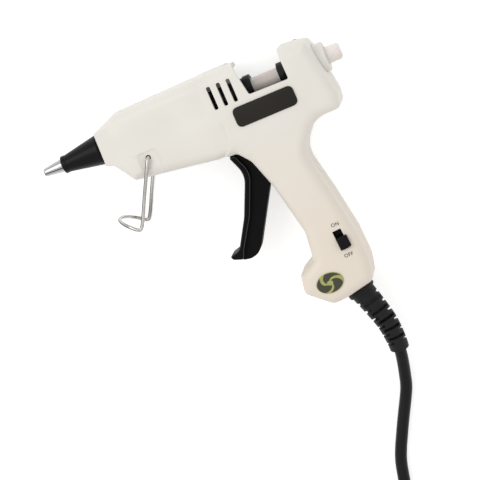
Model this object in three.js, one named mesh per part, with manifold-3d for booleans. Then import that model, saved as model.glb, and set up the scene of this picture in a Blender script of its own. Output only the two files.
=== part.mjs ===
// A mini hot glue gun with a wire stand, lying on its right side, its mains lead coiled beside it.
// X runs from the nozzle tip back along the barrel, Y goes up the gun and Z out of its left side.
// All lengths are millimetres. Tables whose names end in shares are parts of the sizes they follow.

import * as THREE from 'three';
import { mergeVertices } from 'three/addons/utils/BufferGeometryUtils.js';
import Module from 'manifold-3d';

const wasm = await Module();
wasm.setup();

// Clearances that every fit is made from
const clearance = { fit: 0.3, turning: 0.25, moving: 0.6, parting: 0.3, overrun: 3 };

// The moulded housing, in two halves
const body = {
  length: 101.6, height: 109, halfWidth: 14, barrelHalfWidth: 11.8, noseHalfWidth: 8.4,
  wall: 1.8, edgeRadius: 4.6, sharpestCorner: 0.4,
};

// The glue stick and the parts along its axis
const stick = { radius: 3.6, inMelt: 4.4, showing: 6.2, endCrown: 0.9 };
const tip = {
  showing: 8.4, mouthRadius: 0.9, endRadius: 1.7, coneRadius: 2.7, shankRadius: 2.4, lipLength: 0.7,
};
const cover = { length: 17.6, frontRadius: 3.3, rearRadius: 6.1, rimLength: 1.6, rimRise: 0.35 };
const chamber = {
  inset: 3, lengthShare: 0.3996, radius: 5.6, noseRadius: 3.9, noseLength: 5, tipDepth: 3.7,
  throatRadius: 1.2, throatLength: 9, taperLength: 9, neckRadius: 4.9, neckLength: 4,
  boxStart: 11.1, boxLength: 24, boxDrop: 6, boxHalfWidth: 5.4, pocketHeight: 3.9, pocketHalfWidth: 4.2,
  pocketFloor: 1, pocketLength: 22.5,
};
const heater = {
  length: 19, thickness: 1.9, halfWidth: 3.3, electrode: 0.35, film: 0.2, tabLength: 3.2, tabHalfWidth: 1.2,
};
const mountPlate = {
  thickness: 2, halfHeight: 8.2, halfWidths: [8.8, 9.6], cornerRadius: 2.5, placeShares: [0.2, 0.78],
};
const sleeve = { wall: 1.2, showing: 1.9, rimRise: 0.45, rimLength: 3.2, bellWall: 1, bellLength: 5 };
const clip = { wireRadius: 0.45, setback: 2.2 };
const carriage = {
  radius: 5.2, rearGap: 0.73, showing: 3.4, ringLength: 3.4, waist: 0.2, trunnionFromFront: 7, stroke: 5.7,
};
const trunnion = { radius: 1.5, reach: 9.3 };
const grip = { wall: 0.55, length: 8.2 };
const inlet = {
  radius: 6.4, showing: 1.4, flangeSetback: 6.5, flangeRise: 1.1, flangeLength: 1.7, edge: 0.7,
};

// The window over the stick, the vents and the label
const windowCut = {
  frontShare: 0.669, widthShare: 0.1693, depth: 1.9, lean: 2.6, rightLead: 4.4, cornerRadius: 1,
};
const vent = { count: 3, length: 10.2, width: 1.8, pitch: 4.4, firstShares: [0.5295, 0.029] };
const label = { length: 27, height: 8.5, thickness: 0.5, cornerRadius: 2.6, centreShares: [0.715, -0.0763] };
const badge = { halfLength: 5.9, halfHeight: 4.3, thickness: 0.6, centreShares: [0.673, -0.7945], sides: 32 };

// The trigger, its pin and its return spring
const trigger = {
  webHalfWidth: 4.4, flangeHalfWidth: 7, hubRadius: 3.9, armInside: 6.6,
  armThickness: 2.3, armHalfWidth: 4, armPastTrunnion: 2.3, pivotShares: [0.755, -0.192],
};
const pin = { radius: 1.5, halfLength: 11.6, bossRadius: 3.2 };

// The wire stand
const stand = {
  wireRadius: 0.85, legHalfSpacing: 12.85, legLength: 30.6, footDepth: 11.4, bendRadius: 2, hookLength: 3.6,
  pivotShares: [0.186, -0.086], leanDegrees: 28.7, footDegrees: 95, padDepth: 0.25,
  padHalfLength: 4.7, padHalfHeight: 3.95, padDrop: 1.05, padCornerRadius: 2,
  bossRadius: 2.4, bossStart: 8.6, archSteps: 8, steps: 70,
};

// The slide switch in the handle's left flank
const slider = {
  width: 3.9, length: 8.8, knobUp: 3.2, knobDown: 2.05, knobRise: 1.7, knobLeft: 1.7, knobRight: 3.1,
  travel: 3.8, stemHalfWidth: 1.6, stemHalfLength: 1.75, stemDepth: 3.6, turnDegrees: 3.4,
  centreShares: [0.784, -0.6569],
  bodyLength: 13.4, bodyWidth: 4.8, bodyDepth: 5.8, terminalWidth: 2, terminalThickness: 0.5,
  terminalLength: 3.4, terminalSpacing: 7.6,
};

// Screws, the cord clamp and the wires inside
const screw = {
  shankRadius: 1.1, headRadius: 2.3, headHeight: 1.5, length: 17, sunkDepth: 1.4, postRadius: 2.9,
};
const screwPlaceShares = [
  [0.098, -0.112, 0.77], [0.325, -0.141, 0.84], [0.9, 0.077, 1], [0.935, -0.135, 1], [0.7, -0.53, 1],
  [0.633, -0.795, 1],
];
const clamp = {
  halfLength: 6.7, halfWidth: 2.4, thickness: 2, distance: 12, screwReach: 4.9, screwRadius: 0.9,
  headRadius: 1.7, headHeight: 1.1, screwLength: 7, postRadius: 1.8,
};
const wire = { radius: 0.75, pairHalfSpacing: 1.2 };

// The mains lead, its strain relief and its plug
const cord = {
  radius: 2.6, gap: 0.5, innerRadius: 22.5, turnsEachWay: 3.1, stepsPerTurn: 24, sides: 8, loopSides: 6,
  lift: 0.1, insideLength: 15.9,
};
const buttShares = [0.759, -0.8725];
const relief = {
  length: 32.6, rootRadius: 5.1, endRadius: 3.85, flangeLength: 2.5, flangeRise: 1.05, ribs: 6,
  firstRib: 5.4, lastRib: 28.4, grooveLength: 0.9, grooveDepth: 0.8, grooveSlope: 0.25, neckRadius: 4.4,
  keeperRadius: 6, keeperDepth: 2.3, keeperLength: 2, sides: 10,
};
const plug = {
  length: 34, halfWidth: 17.65, halfHeight: 6.85, rearHalfWidth: 5.4, waist: 12, waistHalfWidth: 8.5,
  shoulder: 23, cornerRadius: 3.5,
  edgeRadius: 2.6, pinRadius: 2, pinLength: 19, pinSpacing: 18.6, pinDepth: 6,
};
const spring = {
  coilRadius: 4.4, wireRadius: 0.35, turns: 1.5, loopGap: 0.1, legLength: 9, stepsPerTurn: 12, sides: 5,
};

// The lead's route: X and Y from the middle of the handle's butt, and height over the surface it lies on
const leadRoute = [
  [-3.4, 15.6, 14], [0, 0, 14], [2.7, -9.2, 13.6], [4.8, -18.3, 12], [5.2, -27.4, 9.8], [4.8, -32.1, 8.5],
  [3.5, -38.3, 6.4], [1.8, -44.5, 4.5], [0.4, -48.9, 3.5], [-1.9, -53.6, 2.9], [-6.5, -62, 2.7],
  [-10.8, -70.3, 2.7], [-14, -77.1, 2.7], [-16.6, -87, 2.7], [-18.2, -95.9, 2.7], [-20.4, -107.9, 2.7],
  [-22.6, -120.4, 2.7], [-23.85, -127.5, 2.7],
];

// The lead's tail: X and Y from where the coil ends, and height over the surface
const tailRoute = [[-11, -2.1, 8.1], [-16, -3.4, 7.6], [-21, -4.8, 7.2], [-26, -6.2, 6.95]];

// Facets
const facets = { round: 16, fine: 20, small: 10, wire: 6, cornerSteps: 2 };
const steps = { relief: 10, inner: 9, lead: 12, tail: 10, pathSamples: 4000, gapSamples: 4 };

// Finishes
function finish(colour, roughness, metalness = 0) {
  return { colour, roughness, metalness };
}
const offWhite = finish(0xe8e2d8, 0.5);
const blackPlastic = finish(0x19191a, 0.42);
const darkRubber = finish(0x232324, 0.7);
const nozzleRubber = finish(0x3a3b3d, 0.75);
const brightSteel = finish(0xd6d6d4, 0.22, 1);
const zincSteel = finish(0xb4b6b8, 0.4, 1);
const castAluminium = finish(0xa9abae, 0.5, 1);
const brass = finish(0xc39a4a, 0.35, 1);
const ceramic = finish(0xcfcabf, 0.6);
const amberFilm = finish(0xb9762a, 0.4);
const milkyGlue = finish(0xf0ede6, 0.35);
const limeBadge = finish(0x9cb43a, 0.45);
const redWire = finish(0xa3322a, 0.5);
const blueWire = finish(0x2b5d9c, 0.5);
const phenolic = finish(0x6d5138, 0.7);

// Places along the gun, each worked out from the sizes above
const frontX = tip.showing + cover.length + clearance.fit;
const rearX = frontX + body.length;
const floorZ = -body.halfWidth;
const boreRadius = stick.radius + clearance.fit;
const innerHalfWidth = body.halfWidth - body.wall;

/** A place given as shares of the body's length, from its front, and of its height, from the stick's axis. */
function place([alongShare, upShare]) {
  return [frontX + alongShare * body.length, upShare * body.height];
}

const windowFront = place([windowCut.frontShare, 0])[0];
const windowRear = windowFront + windowCut.widthShare * body.length;
const chamberStart = frontX + chamber.inset;
const chamberLength = chamber.lengthShare * body.length;
const chamberEnd = chamberStart + chamberLength;
const sleeveEnd = windowFront + sleeve.showing;
const sleeveStart = chamberEnd - chamber.neckLength;
const bellRadius = chamber.neckRadius + clearance.fit + sleeve.bellWall;
const carriageStart = windowRear - carriage.showing;
const trunnionX = carriageStart + carriage.trunnionFromFront;
const inletFront = rearX - inlet.flangeSetback;
const carriageEnd = inletFront - carriage.rearGap;
const inletEnd = rearX + inlet.showing;
const stickEnd = inletEnd + stick.showing;
const stickStart = chamberEnd - stick.inMelt;
const pivot = place(trigger.pivotShares);
const standPivot = place(stand.pivotShares);
const screwPlaces = screwPlaceShares.map((shares) => place(shares));
const strokeReach = Math.hypot(trunnionX - carriage.stroke - pivot[0], pivot[1]);
const boxStart = chamberStart + chamber.boxStart;
const boxEnd = boxStart + chamber.boxLength;
const boxLow = -chamber.radius - chamber.boxDrop;
const pocketStart = boxEnd - chamber.pocketLength;
const pocketMiddle = boxLow + chamber.pocketFloor + chamber.pocketHeight / 2;
const butt = place(buttShares);


// Solids: every piece is one closed body, joined and cut here

const meldDistance = 0.0004;

/** Turns a closed geometry into a solid whose faces point out. */
function solidOf(geometry) {
  const bare = new THREE.BufferGeometry();
  bare.setAttribute('position', geometry.getAttribute('position').clone());
  if (geometry.index) bare.setIndex(geometry.index.clone());
  const merged = mergeVertices(bare, meldDistance);
  const vertProperties = new Float32Array(merged.getAttribute('position').array);
  const kept = [];
  const index = merged.index.array;
  for (let i = 0; i < index.length; i += 3) {
    const [a, b, c] = [index[i], index[i + 1], index[i + 2]];
    if (a !== b && b !== c && c !== a) kept.push(a, b, c);
  }
  const triVerts = new Uint32Array(kept);
  if (signedVolume(vertProperties, triVerts) < 0) flip(triVerts);
  return new wasm.Manifold(new wasm.Mesh({ numProp: 3, vertProperties, triVerts }));
}

function signedVolume(vertices, triangles) {
  const [a, b, c] = [new THREE.Vector3(), new THREE.Vector3(), new THREE.Vector3()];
  let sum = 0;
  for (let i = 0; i < triangles.length; i += 3) {
    a.fromArray(vertices, 3 * triangles[i]);
    b.fromArray(vertices, 3 * triangles[i + 1]);
    c.fromArray(vertices, 3 * triangles[i + 2]);
    sum += a.dot(b.cross(c));
  }
  return sum;
}

function flip(triangles) {
  for (let i = 0; i < triangles.length; i += 3) {
    [triangles[i], triangles[i + 1]] = [triangles[i + 1], triangles[i]];
  }
}

function join(...solids) {
  return solids.reduce((sum, solid) => sum.add(solid));
}

function cut(solid, ...tools) {
  return tools.reduce((rest, tool) => rest.subtract(tool), solid);
}

/** Moves a geometry after turning it, angles in radians about X, Y and Z in that order. */
function moved(geometry, [x, y, z], [turnX, turnY, turnZ] = [0, 0, 0]) {
  const turn = new THREE.Matrix4().makeRotationFromEuler(new THREE.Euler(turnX, turnY, turnZ, 'ZYX'));
  geometry.applyMatrix4(turn);
  geometry.translate(x, y, z);
  return geometry;
}

/** A box between two corners. */
function block([x0, y0, z0], [x1, y1, z1]) {
  const box = new THREE.BoxGeometry(x1 - x0, y1 - y0, z1 - z0);
  return solidOf(moved(box, [(x0 + x1) / 2, (y0 + y1) / 2, (z0 + z1) / 2]));
}

/** A round bar along Z from z0 to z1. */
function barZ(radius, [x, y], z0, z1, sides = facets.round) {
  const bar = new THREE.CylinderGeometry(radius, radius, Math.abs(z1 - z0), sides);
  return solidOf(moved(bar, [x, y, (z0 + z1) / 2], [Math.PI / 2, 0, 0]));
}

/** A shape turned about the stick's axis, from [x, radius] points that start and end on the axis. */
function turnedX(profile, sides = facets.fine) {
  const points = profile.map(([x, radius]) => new THREE.Vector2(radius, x));
  return solidOf(moved(new THREE.LatheGeometry(points, sides), [0, 0, 0], [0, 0, -Math.PI / 2]));
}

/** A plain bar about the stick's axis. */
function barX(radius, x0, x1, sides = facets.fine) {
  return turnedX([[x0, 0], [x0, radius], [x1, radius], [x1, 0]], sides);
}

// Outlines: corners [x, y, radius], each rounded, and set in from their edges by a distance

const cornerRoomShare = 0.45;

function windingOf(corners) {
  return corners.reduce((sum, [x, y], i) => {
    const [nextX, nextY] = corners[(i + 1) % corners.length];
    return sum + x * nextY - nextX * y;
  }, 0);
}

/** The outline of rounded corners, moved in by inset, as a loop of points that turns left. */
function roundedLoop(corners, inset = 0) {
  const loop = windingOf(corners) < 0 ? [...corners].reverse() : corners;
  const count = loop.length;
  const spots = loop.map(([x, y]) => new THREE.Vector2(x, y));
  const ways = spots.map((spot, i) => spots[(i + 1) % count].clone().sub(spot).normalize());
  const moves = spots.map((spot, i) => {
    const [before, after] = [ways[(i + count - 1) % count], ways[i]];
    const normals = new THREE.Vector2(-before.y - after.y, before.x + after.x);
    return spot.clone().addScaledVector(normals, inset / (1 + before.dot(after)));
  });
  const sides = moves.map((spot, i) => spot.distanceTo(moves[(i + 1) % count]));
  const points = [];
  moves.forEach((spot, i) => {
    if (loop[i][2] === 0) {
      points.push(spot);
      return;
    }
    const [before, after] = [ways[(i + count - 1) % count], ways[i]];
    const bend = before.cross(after);
    const wanted = Math.max(loop[i][2] - Math.sign(bend) * inset, body.sharpestCorner);
    const slope = Math.tan(Math.acos(THREE.MathUtils.clamp(before.dot(after), -1, 1)) / 2);
    const room = cornerRoomShare * Math.min(sides[(i + count - 1) % count], sides[i]);
    const reach = Math.min(wanted * slope, room);
    const from = spot.clone().addScaledVector(before, -reach);
    const to = spot.clone().addScaledVector(after, reach);
    for (let step = 0; step <= facets.cornerSteps; step += 1) {
      const t = step / facets.cornerSteps;
      const bendPoint = from.clone().multiplyScalar((1 - t) ** 2);
      bendPoint.addScaledVector(spot, 2 * t * (1 - t)).addScaledVector(to, t ** 2);
      points.push(bendPoint);
    }
  });
  return points;
}

/** Stacks loops of equal count, each at its own height, into a closed geometry. */
function stacked(loops, heights) {
  const count = loops[0].length;
  const positions = loops.flatMap((loop, level) => loop.flatMap((p) => [p.x, p.y, heights[level]]));
  const index = [];
  for (let level = 0; level + 1 < loops.length; level += 1) {
    for (let i = 0; i < count; i += 1) {
      const [a, b] = [level * count + i, level * count + ((i + 1) % count)];
      index.push(a, b, b + count, a, b + count, a + count);
    }
  }
  const last = (loops.length - 1) * count;
  THREE.ShapeUtils.triangulateShape(loops[0], []).forEach(([a, b, c]) => index.push(c, b, a));
  THREE.ShapeUtils.triangulateShape(loops[loops.length - 1], []).forEach(([a, b, c]) => {
    index.push(last + a, last + b, last + c);
  });
  const geometry = new THREE.BufferGeometry();
  geometry.setAttribute('position', new THREE.Float32BufferAttribute(positions, 3));
  geometry.setIndex(index);
  return geometry;
}

/** A flat plate of the outline between two heights. */
function plate(corners, z0, z1) {
  const loop = roundedLoop(corners);
  return solidOf(stacked([loop, loop], [z0, z1]));
}

const edgeShares = [[0, 0], [0.28, 0.7], [1, 1]];

/** A pillow of the outline, as deep as halfWidth each way, with its edges rounded over. */
function pillow(corners, halfWidth, edgeRadius, inset = 0) {
  const loops = [];
  const heights = [];
  [...edgeShares].reverse().forEach(([inShare, upShare]) => {
    loops.push(roundedLoop(corners, inset + inShare * edgeRadius));
    heights.push(-(halfWidth - edgeRadius + upShare * edgeRadius));
  });
  edgeShares.forEach(([inShare, upShare]) => {
    loops.push(roundedLoop(corners, inset + inShare * edgeRadius));
    heights.push(halfWidth - edgeRadius + upShare * edgeRadius);
  });
  return stacked(loops, heights);
}

/** Corners given as shares of the body's length and height, with radii as shares of its length. */
function bodyCorners(shares) {
  return shares.map(([alongShare, upShare, radiusShare]) => {
    return [...place([alongShare, upShare]), radiusShare * body.length];
  });
}

/** A tube along a curve, square-ended. */
function tube(points, radius, count, sides = facets.wire) {
  const path = new THREE.CatmullRomCurve3(points.map((point) => new THREE.Vector3(...point)));
  path.arcLengthDivisions = steps.pathSamples;
  const section = new THREE.Shape();
  for (let i = 0; i < sides; i += 1) {
    const angle = (2 * Math.PI * i) / sides;
    const [x, y] = [radius * Math.cos(angle), radius * Math.sin(angle)];
    if (i === 0) section.moveTo(x, y);
    else section.lineTo(x, y);
  }
  section.closePath();
  return new THREE.ExtrudeGeometry(section, { steps: count, extrudePath: path, bevelEnabled: false });
}

// The group of pieces
const gun = new THREE.Group();

function addPiece(name, solid, look) {
  const mesh = solid.getMesh();
  const corners = new Float32Array(mesh.numVert * 3);
  for (let i = 0; i < mesh.numVert; i += 1) {
    for (let k = 0; k < 3; k += 1) corners[3 * i + k] = mesh.vertProperties[i * mesh.numProp + k];
  }
  const geometry = new THREE.BufferGeometry();
  geometry.setAttribute('position', new THREE.BufferAttribute(corners, 3));
  geometry.setIndex(new THREE.BufferAttribute(new Uint32Array(mesh.triVerts), 1));
  const { colour, roughness, metalness } = look;
  const material = new THREE.MeshStandardMaterial({ color: colour, roughness, metalness });
  const piece = new THREE.Mesh(geometry, material);
  piece.name = name;
  gun.add(piece);
  return piece;
}

// The housing

const barrelShares = [
  [0.004, -0.058, 0.01], [0.037, -0.069, 0.015], [0.094, -0.152, 0.03], [0.45, -0.2, 0.008],
  [0.56, -0.199, 0.01], [0.56, 0.115, 0.01], [0.45, 0.1168, 0.01], [0.104, 0.111, 0.03],
  [0.052, 0.09, 0.02], [0.008, 0.075, 0.012],
];
const bodyShares = [
  [0.472, -0.2045, 0.02], [0.527, -0.2055, 0.025], [0.569, -0.254, 0.08], [0.612, -0.376, 0.12],
  [0.656, -0.582, 0.1], [0.642, -0.693, 0.03], [0.567, -0.73, 0.025], [0.5535, -0.804, 0.035],
  [0.649, -0.8825, 0.05], [0.707, -0.879, 0.01], [0.838, -0.853, 0.035], [0.8555, -0.775, 0.06],
  [0.8515, -0.66, 0.12], [0.823, -0.49, 0.2], [0.782, -0.3, 0.12], [0.875, -0.195, 0.12],
  [0.997, -0.195, 0.045], [1.004, -0.137, 0.04], [0.992, -0.06, 0.01], [0.971, 0.06, 0.01],
  [0.96, 0.088, 0.025], [0.895, 0.0985, 0.04], [0.66, 0.1185, 0.02], [0.47, 0.1185, 0.012],
  [0.4655, 0.02, 0.06], [0.47, -0.045, 0.06], [0.497, -0.085, 0.06],
];
const noseTaperShares = [[-0.02, 0], [0.09, 0.78], [0.16, 1], [1.1, 1.2]];

/** The barrel seen from above: narrow at the nozzle, then parallel. */
function noseTaper(inset) {
  const widening = body.barrelHalfWidth - body.noseHalfWidth;
  const side = noseTaperShares.map(([alongShare, share]) => {
    return [frontX + alongShare * body.length, body.noseHalfWidth + share * widening - inset];
  });
  const corners = [...side.map(([x, z]) => [x, -z]), ...[...side].reverse()];
  const loop = corners.map(([x, z]) => new THREE.Vector2(x, z));
  const slab = stacked([loop, loop], [-body.height, body.height]);
  return solidOf(moved(slab, [0, 0, 0], [Math.PI / 2, 0, 0]));
}

/** The whole housing's form, its walls' outside at no inset and their inside at one wall. */
function housingForm(inset) {
  const innerEdge = body.edgeRadius - inset;
  const barrel = solidOf(pillow(bodyCorners(barrelShares), body.barrelHalfWidth - inset, innerEdge, inset));
  const main = solidOf(pillow(bodyCorners(bodyShares), body.halfWidth - inset, innerEdge, inset));
  return join(barrel.intersect(noseTaper(inset)), main);
}

const topShare = 0.13;

/** The window that is cut through the top of a half; the right half's starts further forward. */
function windowTool(side) {
  const [top, low] = [body.height * topShare, -windowCut.depth];
  const front = windowFront - (side < 0 ? windowCut.rightLead : 0);
  const corners = [
    [front - windowCut.lean, top, 0], [front, low, windowCut.cornerRadius],
    [windowRear, low, windowCut.cornerRadius], [windowRear, top, 0],
  ];
  const reach = body.halfWidth + clearance.overrun;
  return plate(corners, -reach, reach);
}

const triggerSlotShares = [
  [0.468, -0.14, 0], [0.468, -0.225, 0], [0.535, -0.24, 0.01], [0.59, -0.4, 0.01], [0.604, -0.486, 0],
  [0.656, -0.486, 0.005], [0.64, -0.36, 0.01], [0.6, -0.22, 0.02], [0.58, -0.14, 0],
];

/** The slot in the barrel's belly and the handle's front that the trigger swings in. */
function triggerSlot() {
  const corners = bodyCorners(triggerSlotShares);
  const reach = trigger.webHalfWidth + clearance.moving;
  return plate(corners, -reach, reach);
}

/** One round-ended vent, cut through the left wall. */
function ventTool(i) {
  const [x, y] = place(vent.firstShares);
  const [half, end] = [vent.width / 2, vent.length / 2];
  const centre = x + i * vent.pitch;
  const corners = [
    [centre - half, y - end, half], [centre + half, y - end, half],
    [centre + half, y + end, half], [centre - half, y + end, half],
  ];
  return plate(corners, 0, body.halfWidth + clearance.overrun);
}

/** The shallow pad that the stand's leg lies against, around its hole. */
function standPad(side) {
  const outer = side * (body.barrelHalfWidth + clearance.overrun);
  const inner = side * (body.barrelHalfWidth - stand.padDepth);
  const [x, y] = [standPivot[0], standPivot[1] - stand.padDrop];
  const [front, rear] = [x - stand.padHalfLength, x + stand.padHalfLength];
  const [low, high] = [y - stand.padHalfHeight, y + stand.padHalfHeight];
  const corners = rectangle(front, low, rear, high, stand.padCornerRadius);
  return plate(corners, Math.min(inner, outer), Math.max(inner, outer));
}

/** A plate in the switch's own frame, turned with the handle and set at its centre. */
function sliderPlate(corners, z0, z1) {
  const loop = roundedLoop(corners);
  const turn = THREE.MathUtils.degToRad(slider.turnDegrees);
  return solidOf(moved(stacked([loop, loop], [z0, z1]), [...place(slider.centreShares), 0], [0, 0, turn]));
}

/** Corners of a rectangle with one corner radius. */
function rectangle(x0, y0, x1, y1, radius = 0) {
  return [[x0, y0, radius], [x1, y0, radius], [x1, y1, radius], [x0, y1, radius]];
}

/** The slot in the left flank that the switch's knob slides in. */
function sliderSlot() {
  const [halfWidth, halfLength] = [slider.width / 2, slider.length / 2];
  const corners = rectangle(-halfWidth, -halfLength, halfWidth, halfLength);
  return sliderPlate(corners, innerHalfWidth - body.wall, body.halfWidth + clearance.overrun);
}

/** Room through ribs and posts for the parts along the stick's axis. */
function axisRoom() {
  const hot = barX(bellRadius + 2 * clip.wireRadius + clearance.moving, frontX + body.wall, windowFront);
  const moving = barX(carriage.radius + clearance.moving, windowFront, inletFront);
  const flange = inlet.radius + inlet.flangeRise + clearance.fit;
  const collar = barX(flange, inletFront - clearance.fit, inletFront + inlet.flangeLength + clearance.fit);
  const neck = barX(inlet.radius + clearance.fit, inletFront, rearX + clearance.overrun);
  const noseRadius = tip.shankRadius + clearance.moving;
  const nose = barX(noseRadius, frontX - clearance.overrun, frontX + clearance.overrun);
  return [hot, moving, collar, neck, nose];
}

/** One half of the housing: its walls, posts, pin boss and every opening through it. */
function shellHalf(side) {
  const [outer, inner] = [housingForm(0), housingForm(body.wall)];
  const parting = side * clearance.parting / 2;
  const far = side * (body.halfWidth + clearance.overrun);
  const reach = body.height + body.length;
  const halfSpace = block([-reach, -reach, Math.min(parting, far)], [reach, reach, Math.max(parting, far)]);
  const posts = screwPlaces.map((spot) => barZ(screw.postRadius, spot, parting, far, facets.small));
  const pinBoss = barZ(pin.bossRadius, pivot, side * (pin.halfLength - body.wall), far, facets.small);
  const standBoss = barZ(stand.bossRadius, standPivot, side * stand.bossStart, far, facets.small);
  const ribs = join(...posts, pinBoss, standBoss).intersect(outer);
  const standHole = barZ(stand.wireRadius + clearance.turning, standPivot, parting, far, facets.small);
  const pinRadius = pin.radius + clearance.turning;
  const pinHole = barZ(pinRadius, pivot, parting, side * (pin.halfLength + clearance.fit), facets.small);
  const openings = [
    windowTool(side), triggerSlot(), standHole, pinHole, standPad(side), reliefRoom(), ...axisRoom(),
  ];
  const walls = cut(outer, inner);
  const half = join(walls, ribs).intersect(halfSpace);
  if (side > 0) return cut(half, ...openings, ...pilots(), ...leftOpenings());
  return cut(join(half, clampPosts()), ...openings, ...screwSinks(), ...clampPilots());
}

/** Where a screw's head lies in the right flank, which is narrower along the barrel. */
function screwHeadSpan(depthShare) {
  const low = screw.sunkDepth - depthShare * body.halfWidth;
  return [low, low + screw.headHeight, low + screw.headHeight + depthShare * screw.length];
}

/** The stepped holes of the right half, where the screws' heads sink in. */
function screwSinks() {
  return screwPlaces.map((spot, i) => {
    const [, headTop] = screwHeadSpan(screwPlaceShares[i][2]);
    const [deepest, gap] = [floorZ - clearance.overrun, clearance.fit];
    const sink = barZ(screw.headRadius + gap, spot, deepest, headTop + gap);
    return join(sink, barZ(screw.shankRadius + gap, spot, floorZ, gap, facets.small));
  });
}

/** The pilot holes of the left half's posts. */
function pilots() {
  return screwPlaces.map((spot, i) => {
    const [, , end] = screwHeadSpan(screwPlaceShares[i][2]);
    return barZ(screw.shankRadius + clearance.fit, spot, 0, end + clearance.moving, facets.small);
  });
}

function leftOpenings() {
  return [sliderSlot(), ...Array.from({ length: vent.count }, (_, i) => ventTool(i))];
}

function addHousingScrews() {
  screwPlaces.forEach((spot, i) => {
    const [low, headTop, end] = screwHeadSpan(screwPlaceShares[i][2]);
    const head = barZ(screw.headRadius, spot, low, headTop, facets.small);
    const shank = barZ(screw.shankRadius, spot, headTop, end, facets.wire);
    addPiece(`housing_screw_${i + 1}`, join(head, shank), zincSteel);
  });
}

// The plates on the left flank

function labelPlate() {
  const [x, y] = place(label.centreShares);
  const [dx, dy] = [label.length / 2, label.height / 2];
  const corners = rectangle(x - dx, y - dy, x + dx, y + dy, label.cornerRadius);
  return plate(corners, body.halfWidth, body.halfWidth + label.thickness);
}

function badgePlate() {
  const disc = new THREE.CylinderGeometry(1, 1, badge.thickness, badge.sides);
  disc.scale(badge.halfLength, 1, badge.halfHeight);
  const height = body.halfWidth + badge.thickness / 2;
  return solidOf(moved(disc, [...place(badge.centreShares), height], [Math.PI / 2, 0, 0]));
}

// The nozzle, the melt chamber and its heater

function nozzleTip() {
  const shankEnd = chamberStart + chamber.tipDepth;
  const outside = turnedX([
    [0, 0], [0, tip.endRadius], [tip.lipLength, tip.endRadius], [tip.showing, tip.coneRadius],
    [tip.showing + tip.lipLength, tip.shankRadius], [shankEnd, tip.shankRadius], [shankEnd, 0],
  ]);
  return cut(outside, barX(tip.mouthRadius, -clearance.overrun, shankEnd + clearance.overrun, facets.small));
}

function nozzleCover() {
  const [start, end] = [tip.showing + clearance.fit, frontX - clearance.fit];
  const rim = cover.frontRadius + cover.rimRise;
  const outside = turnedX([
    [start, 0], [start, rim], [start + cover.rimLength, rim], [start + cover.rimLength, cover.frontRadius],
    [end, cover.rearRadius], [end, 0],
  ]);
  const boreHalf = tip.shankRadius + clearance.fit;
  return cut(outside, barX(boreHalf, start - clearance.overrun, end + clearance.overrun));
}

function meltChamber() {
  const noseEnd = chamberStart + chamber.noseLength;
  const neckStart = chamberEnd - chamber.neckLength;
  const outside = turnedX([
    [chamberStart, 0], [chamberStart, chamber.noseRadius], [noseEnd, chamber.noseRadius],
    [noseEnd, chamber.radius], [neckStart, chamber.radius],
    [neckStart, chamber.neckRadius], [chamberEnd, chamber.neckRadius], [chamberEnd, 0],
  ]);
  const box = block([boxStart, boxLow, -chamber.boxHalfWidth], [boxEnd, 0, chamber.boxHalfWidth]);
  const throatEnd = chamberStart + chamber.throatLength;
  const seatEnd = chamberStart + chamber.tipDepth + clearance.fit;
  const tipRoom = tip.shankRadius + clearance.fit;
  const bore = turnedX([
    [chamberStart - clearance.overrun, 0], [chamberStart - clearance.overrun, tipRoom],
    [seatEnd, tipRoom], [seatEnd, chamber.throatRadius], [throatEnd, chamber.throatRadius],
    [throatEnd + chamber.taperLength, boreRadius], [chamberEnd + clearance.overrun, boreRadius],
    [chamberEnd + clearance.overrun, 0],
  ]);
  const pocket = block(
    [pocketStart, pocketMiddle - chamber.pocketHeight / 2, -chamber.pocketHalfWidth],
    [boxEnd + clearance.overrun, pocketMiddle + chamber.pocketHeight / 2, chamber.pocketHalfWidth],
  );
  return cut(join(outside, box), bore, pocket);
}

/** The heater's stack: a ceramic plate between two electrodes, wrapped in film, in the chamber's pocket. */
function addHeater() {
  const start = pocketStart + clearance.moving;
  const end = start + heater.length;
  const halfPlate = heater.thickness / 2;
  const layer = (low, high, halfWidth) => {
    return block([start, pocketMiddle + low, -halfWidth], [end, pocketMiddle + high, halfWidth]);
  };
  addPiece('heater_element', layer(-halfPlate, halfPlate, heater.halfWidth), ceramic);
  const names = { electrode_upper: 1, electrode_lower: -1 };
  Object.entries(names).forEach(([name, side]) => {
    const [near, far] = [side * halfPlate, side * (halfPlate + heater.electrode)];
    const strip = layer(Math.min(near, far), Math.max(near, far), heater.halfWidth);
    const middle = side * heater.halfWidth / 2;
    const tab = block(
      [start, pocketMiddle + Math.min(near, far), middle - heater.tabHalfWidth],
      [end + heater.tabLength, pocketMiddle + Math.max(near, far), middle + heater.tabHalfWidth],
    );
    addPiece(name, join(strip, tab), brass);
  });
  const wrapHeight = chamber.pocketHeight / 2 - clearance.fit;
  const wrapWidth = chamber.pocketHalfWidth - clearance.fit;
  const [inHeight, inWidth] = [wrapHeight - heater.film, wrapWidth - heater.film];
  const film = cut(layer(-wrapHeight, wrapHeight, wrapWidth), block(
    [start - clearance.overrun, pocketMiddle - inHeight, -inWidth],
    [end + clearance.overrun, pocketMiddle + inHeight, inWidth],
  ));
  addPiece('heater_film', film, amberFilm);
}

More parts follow.
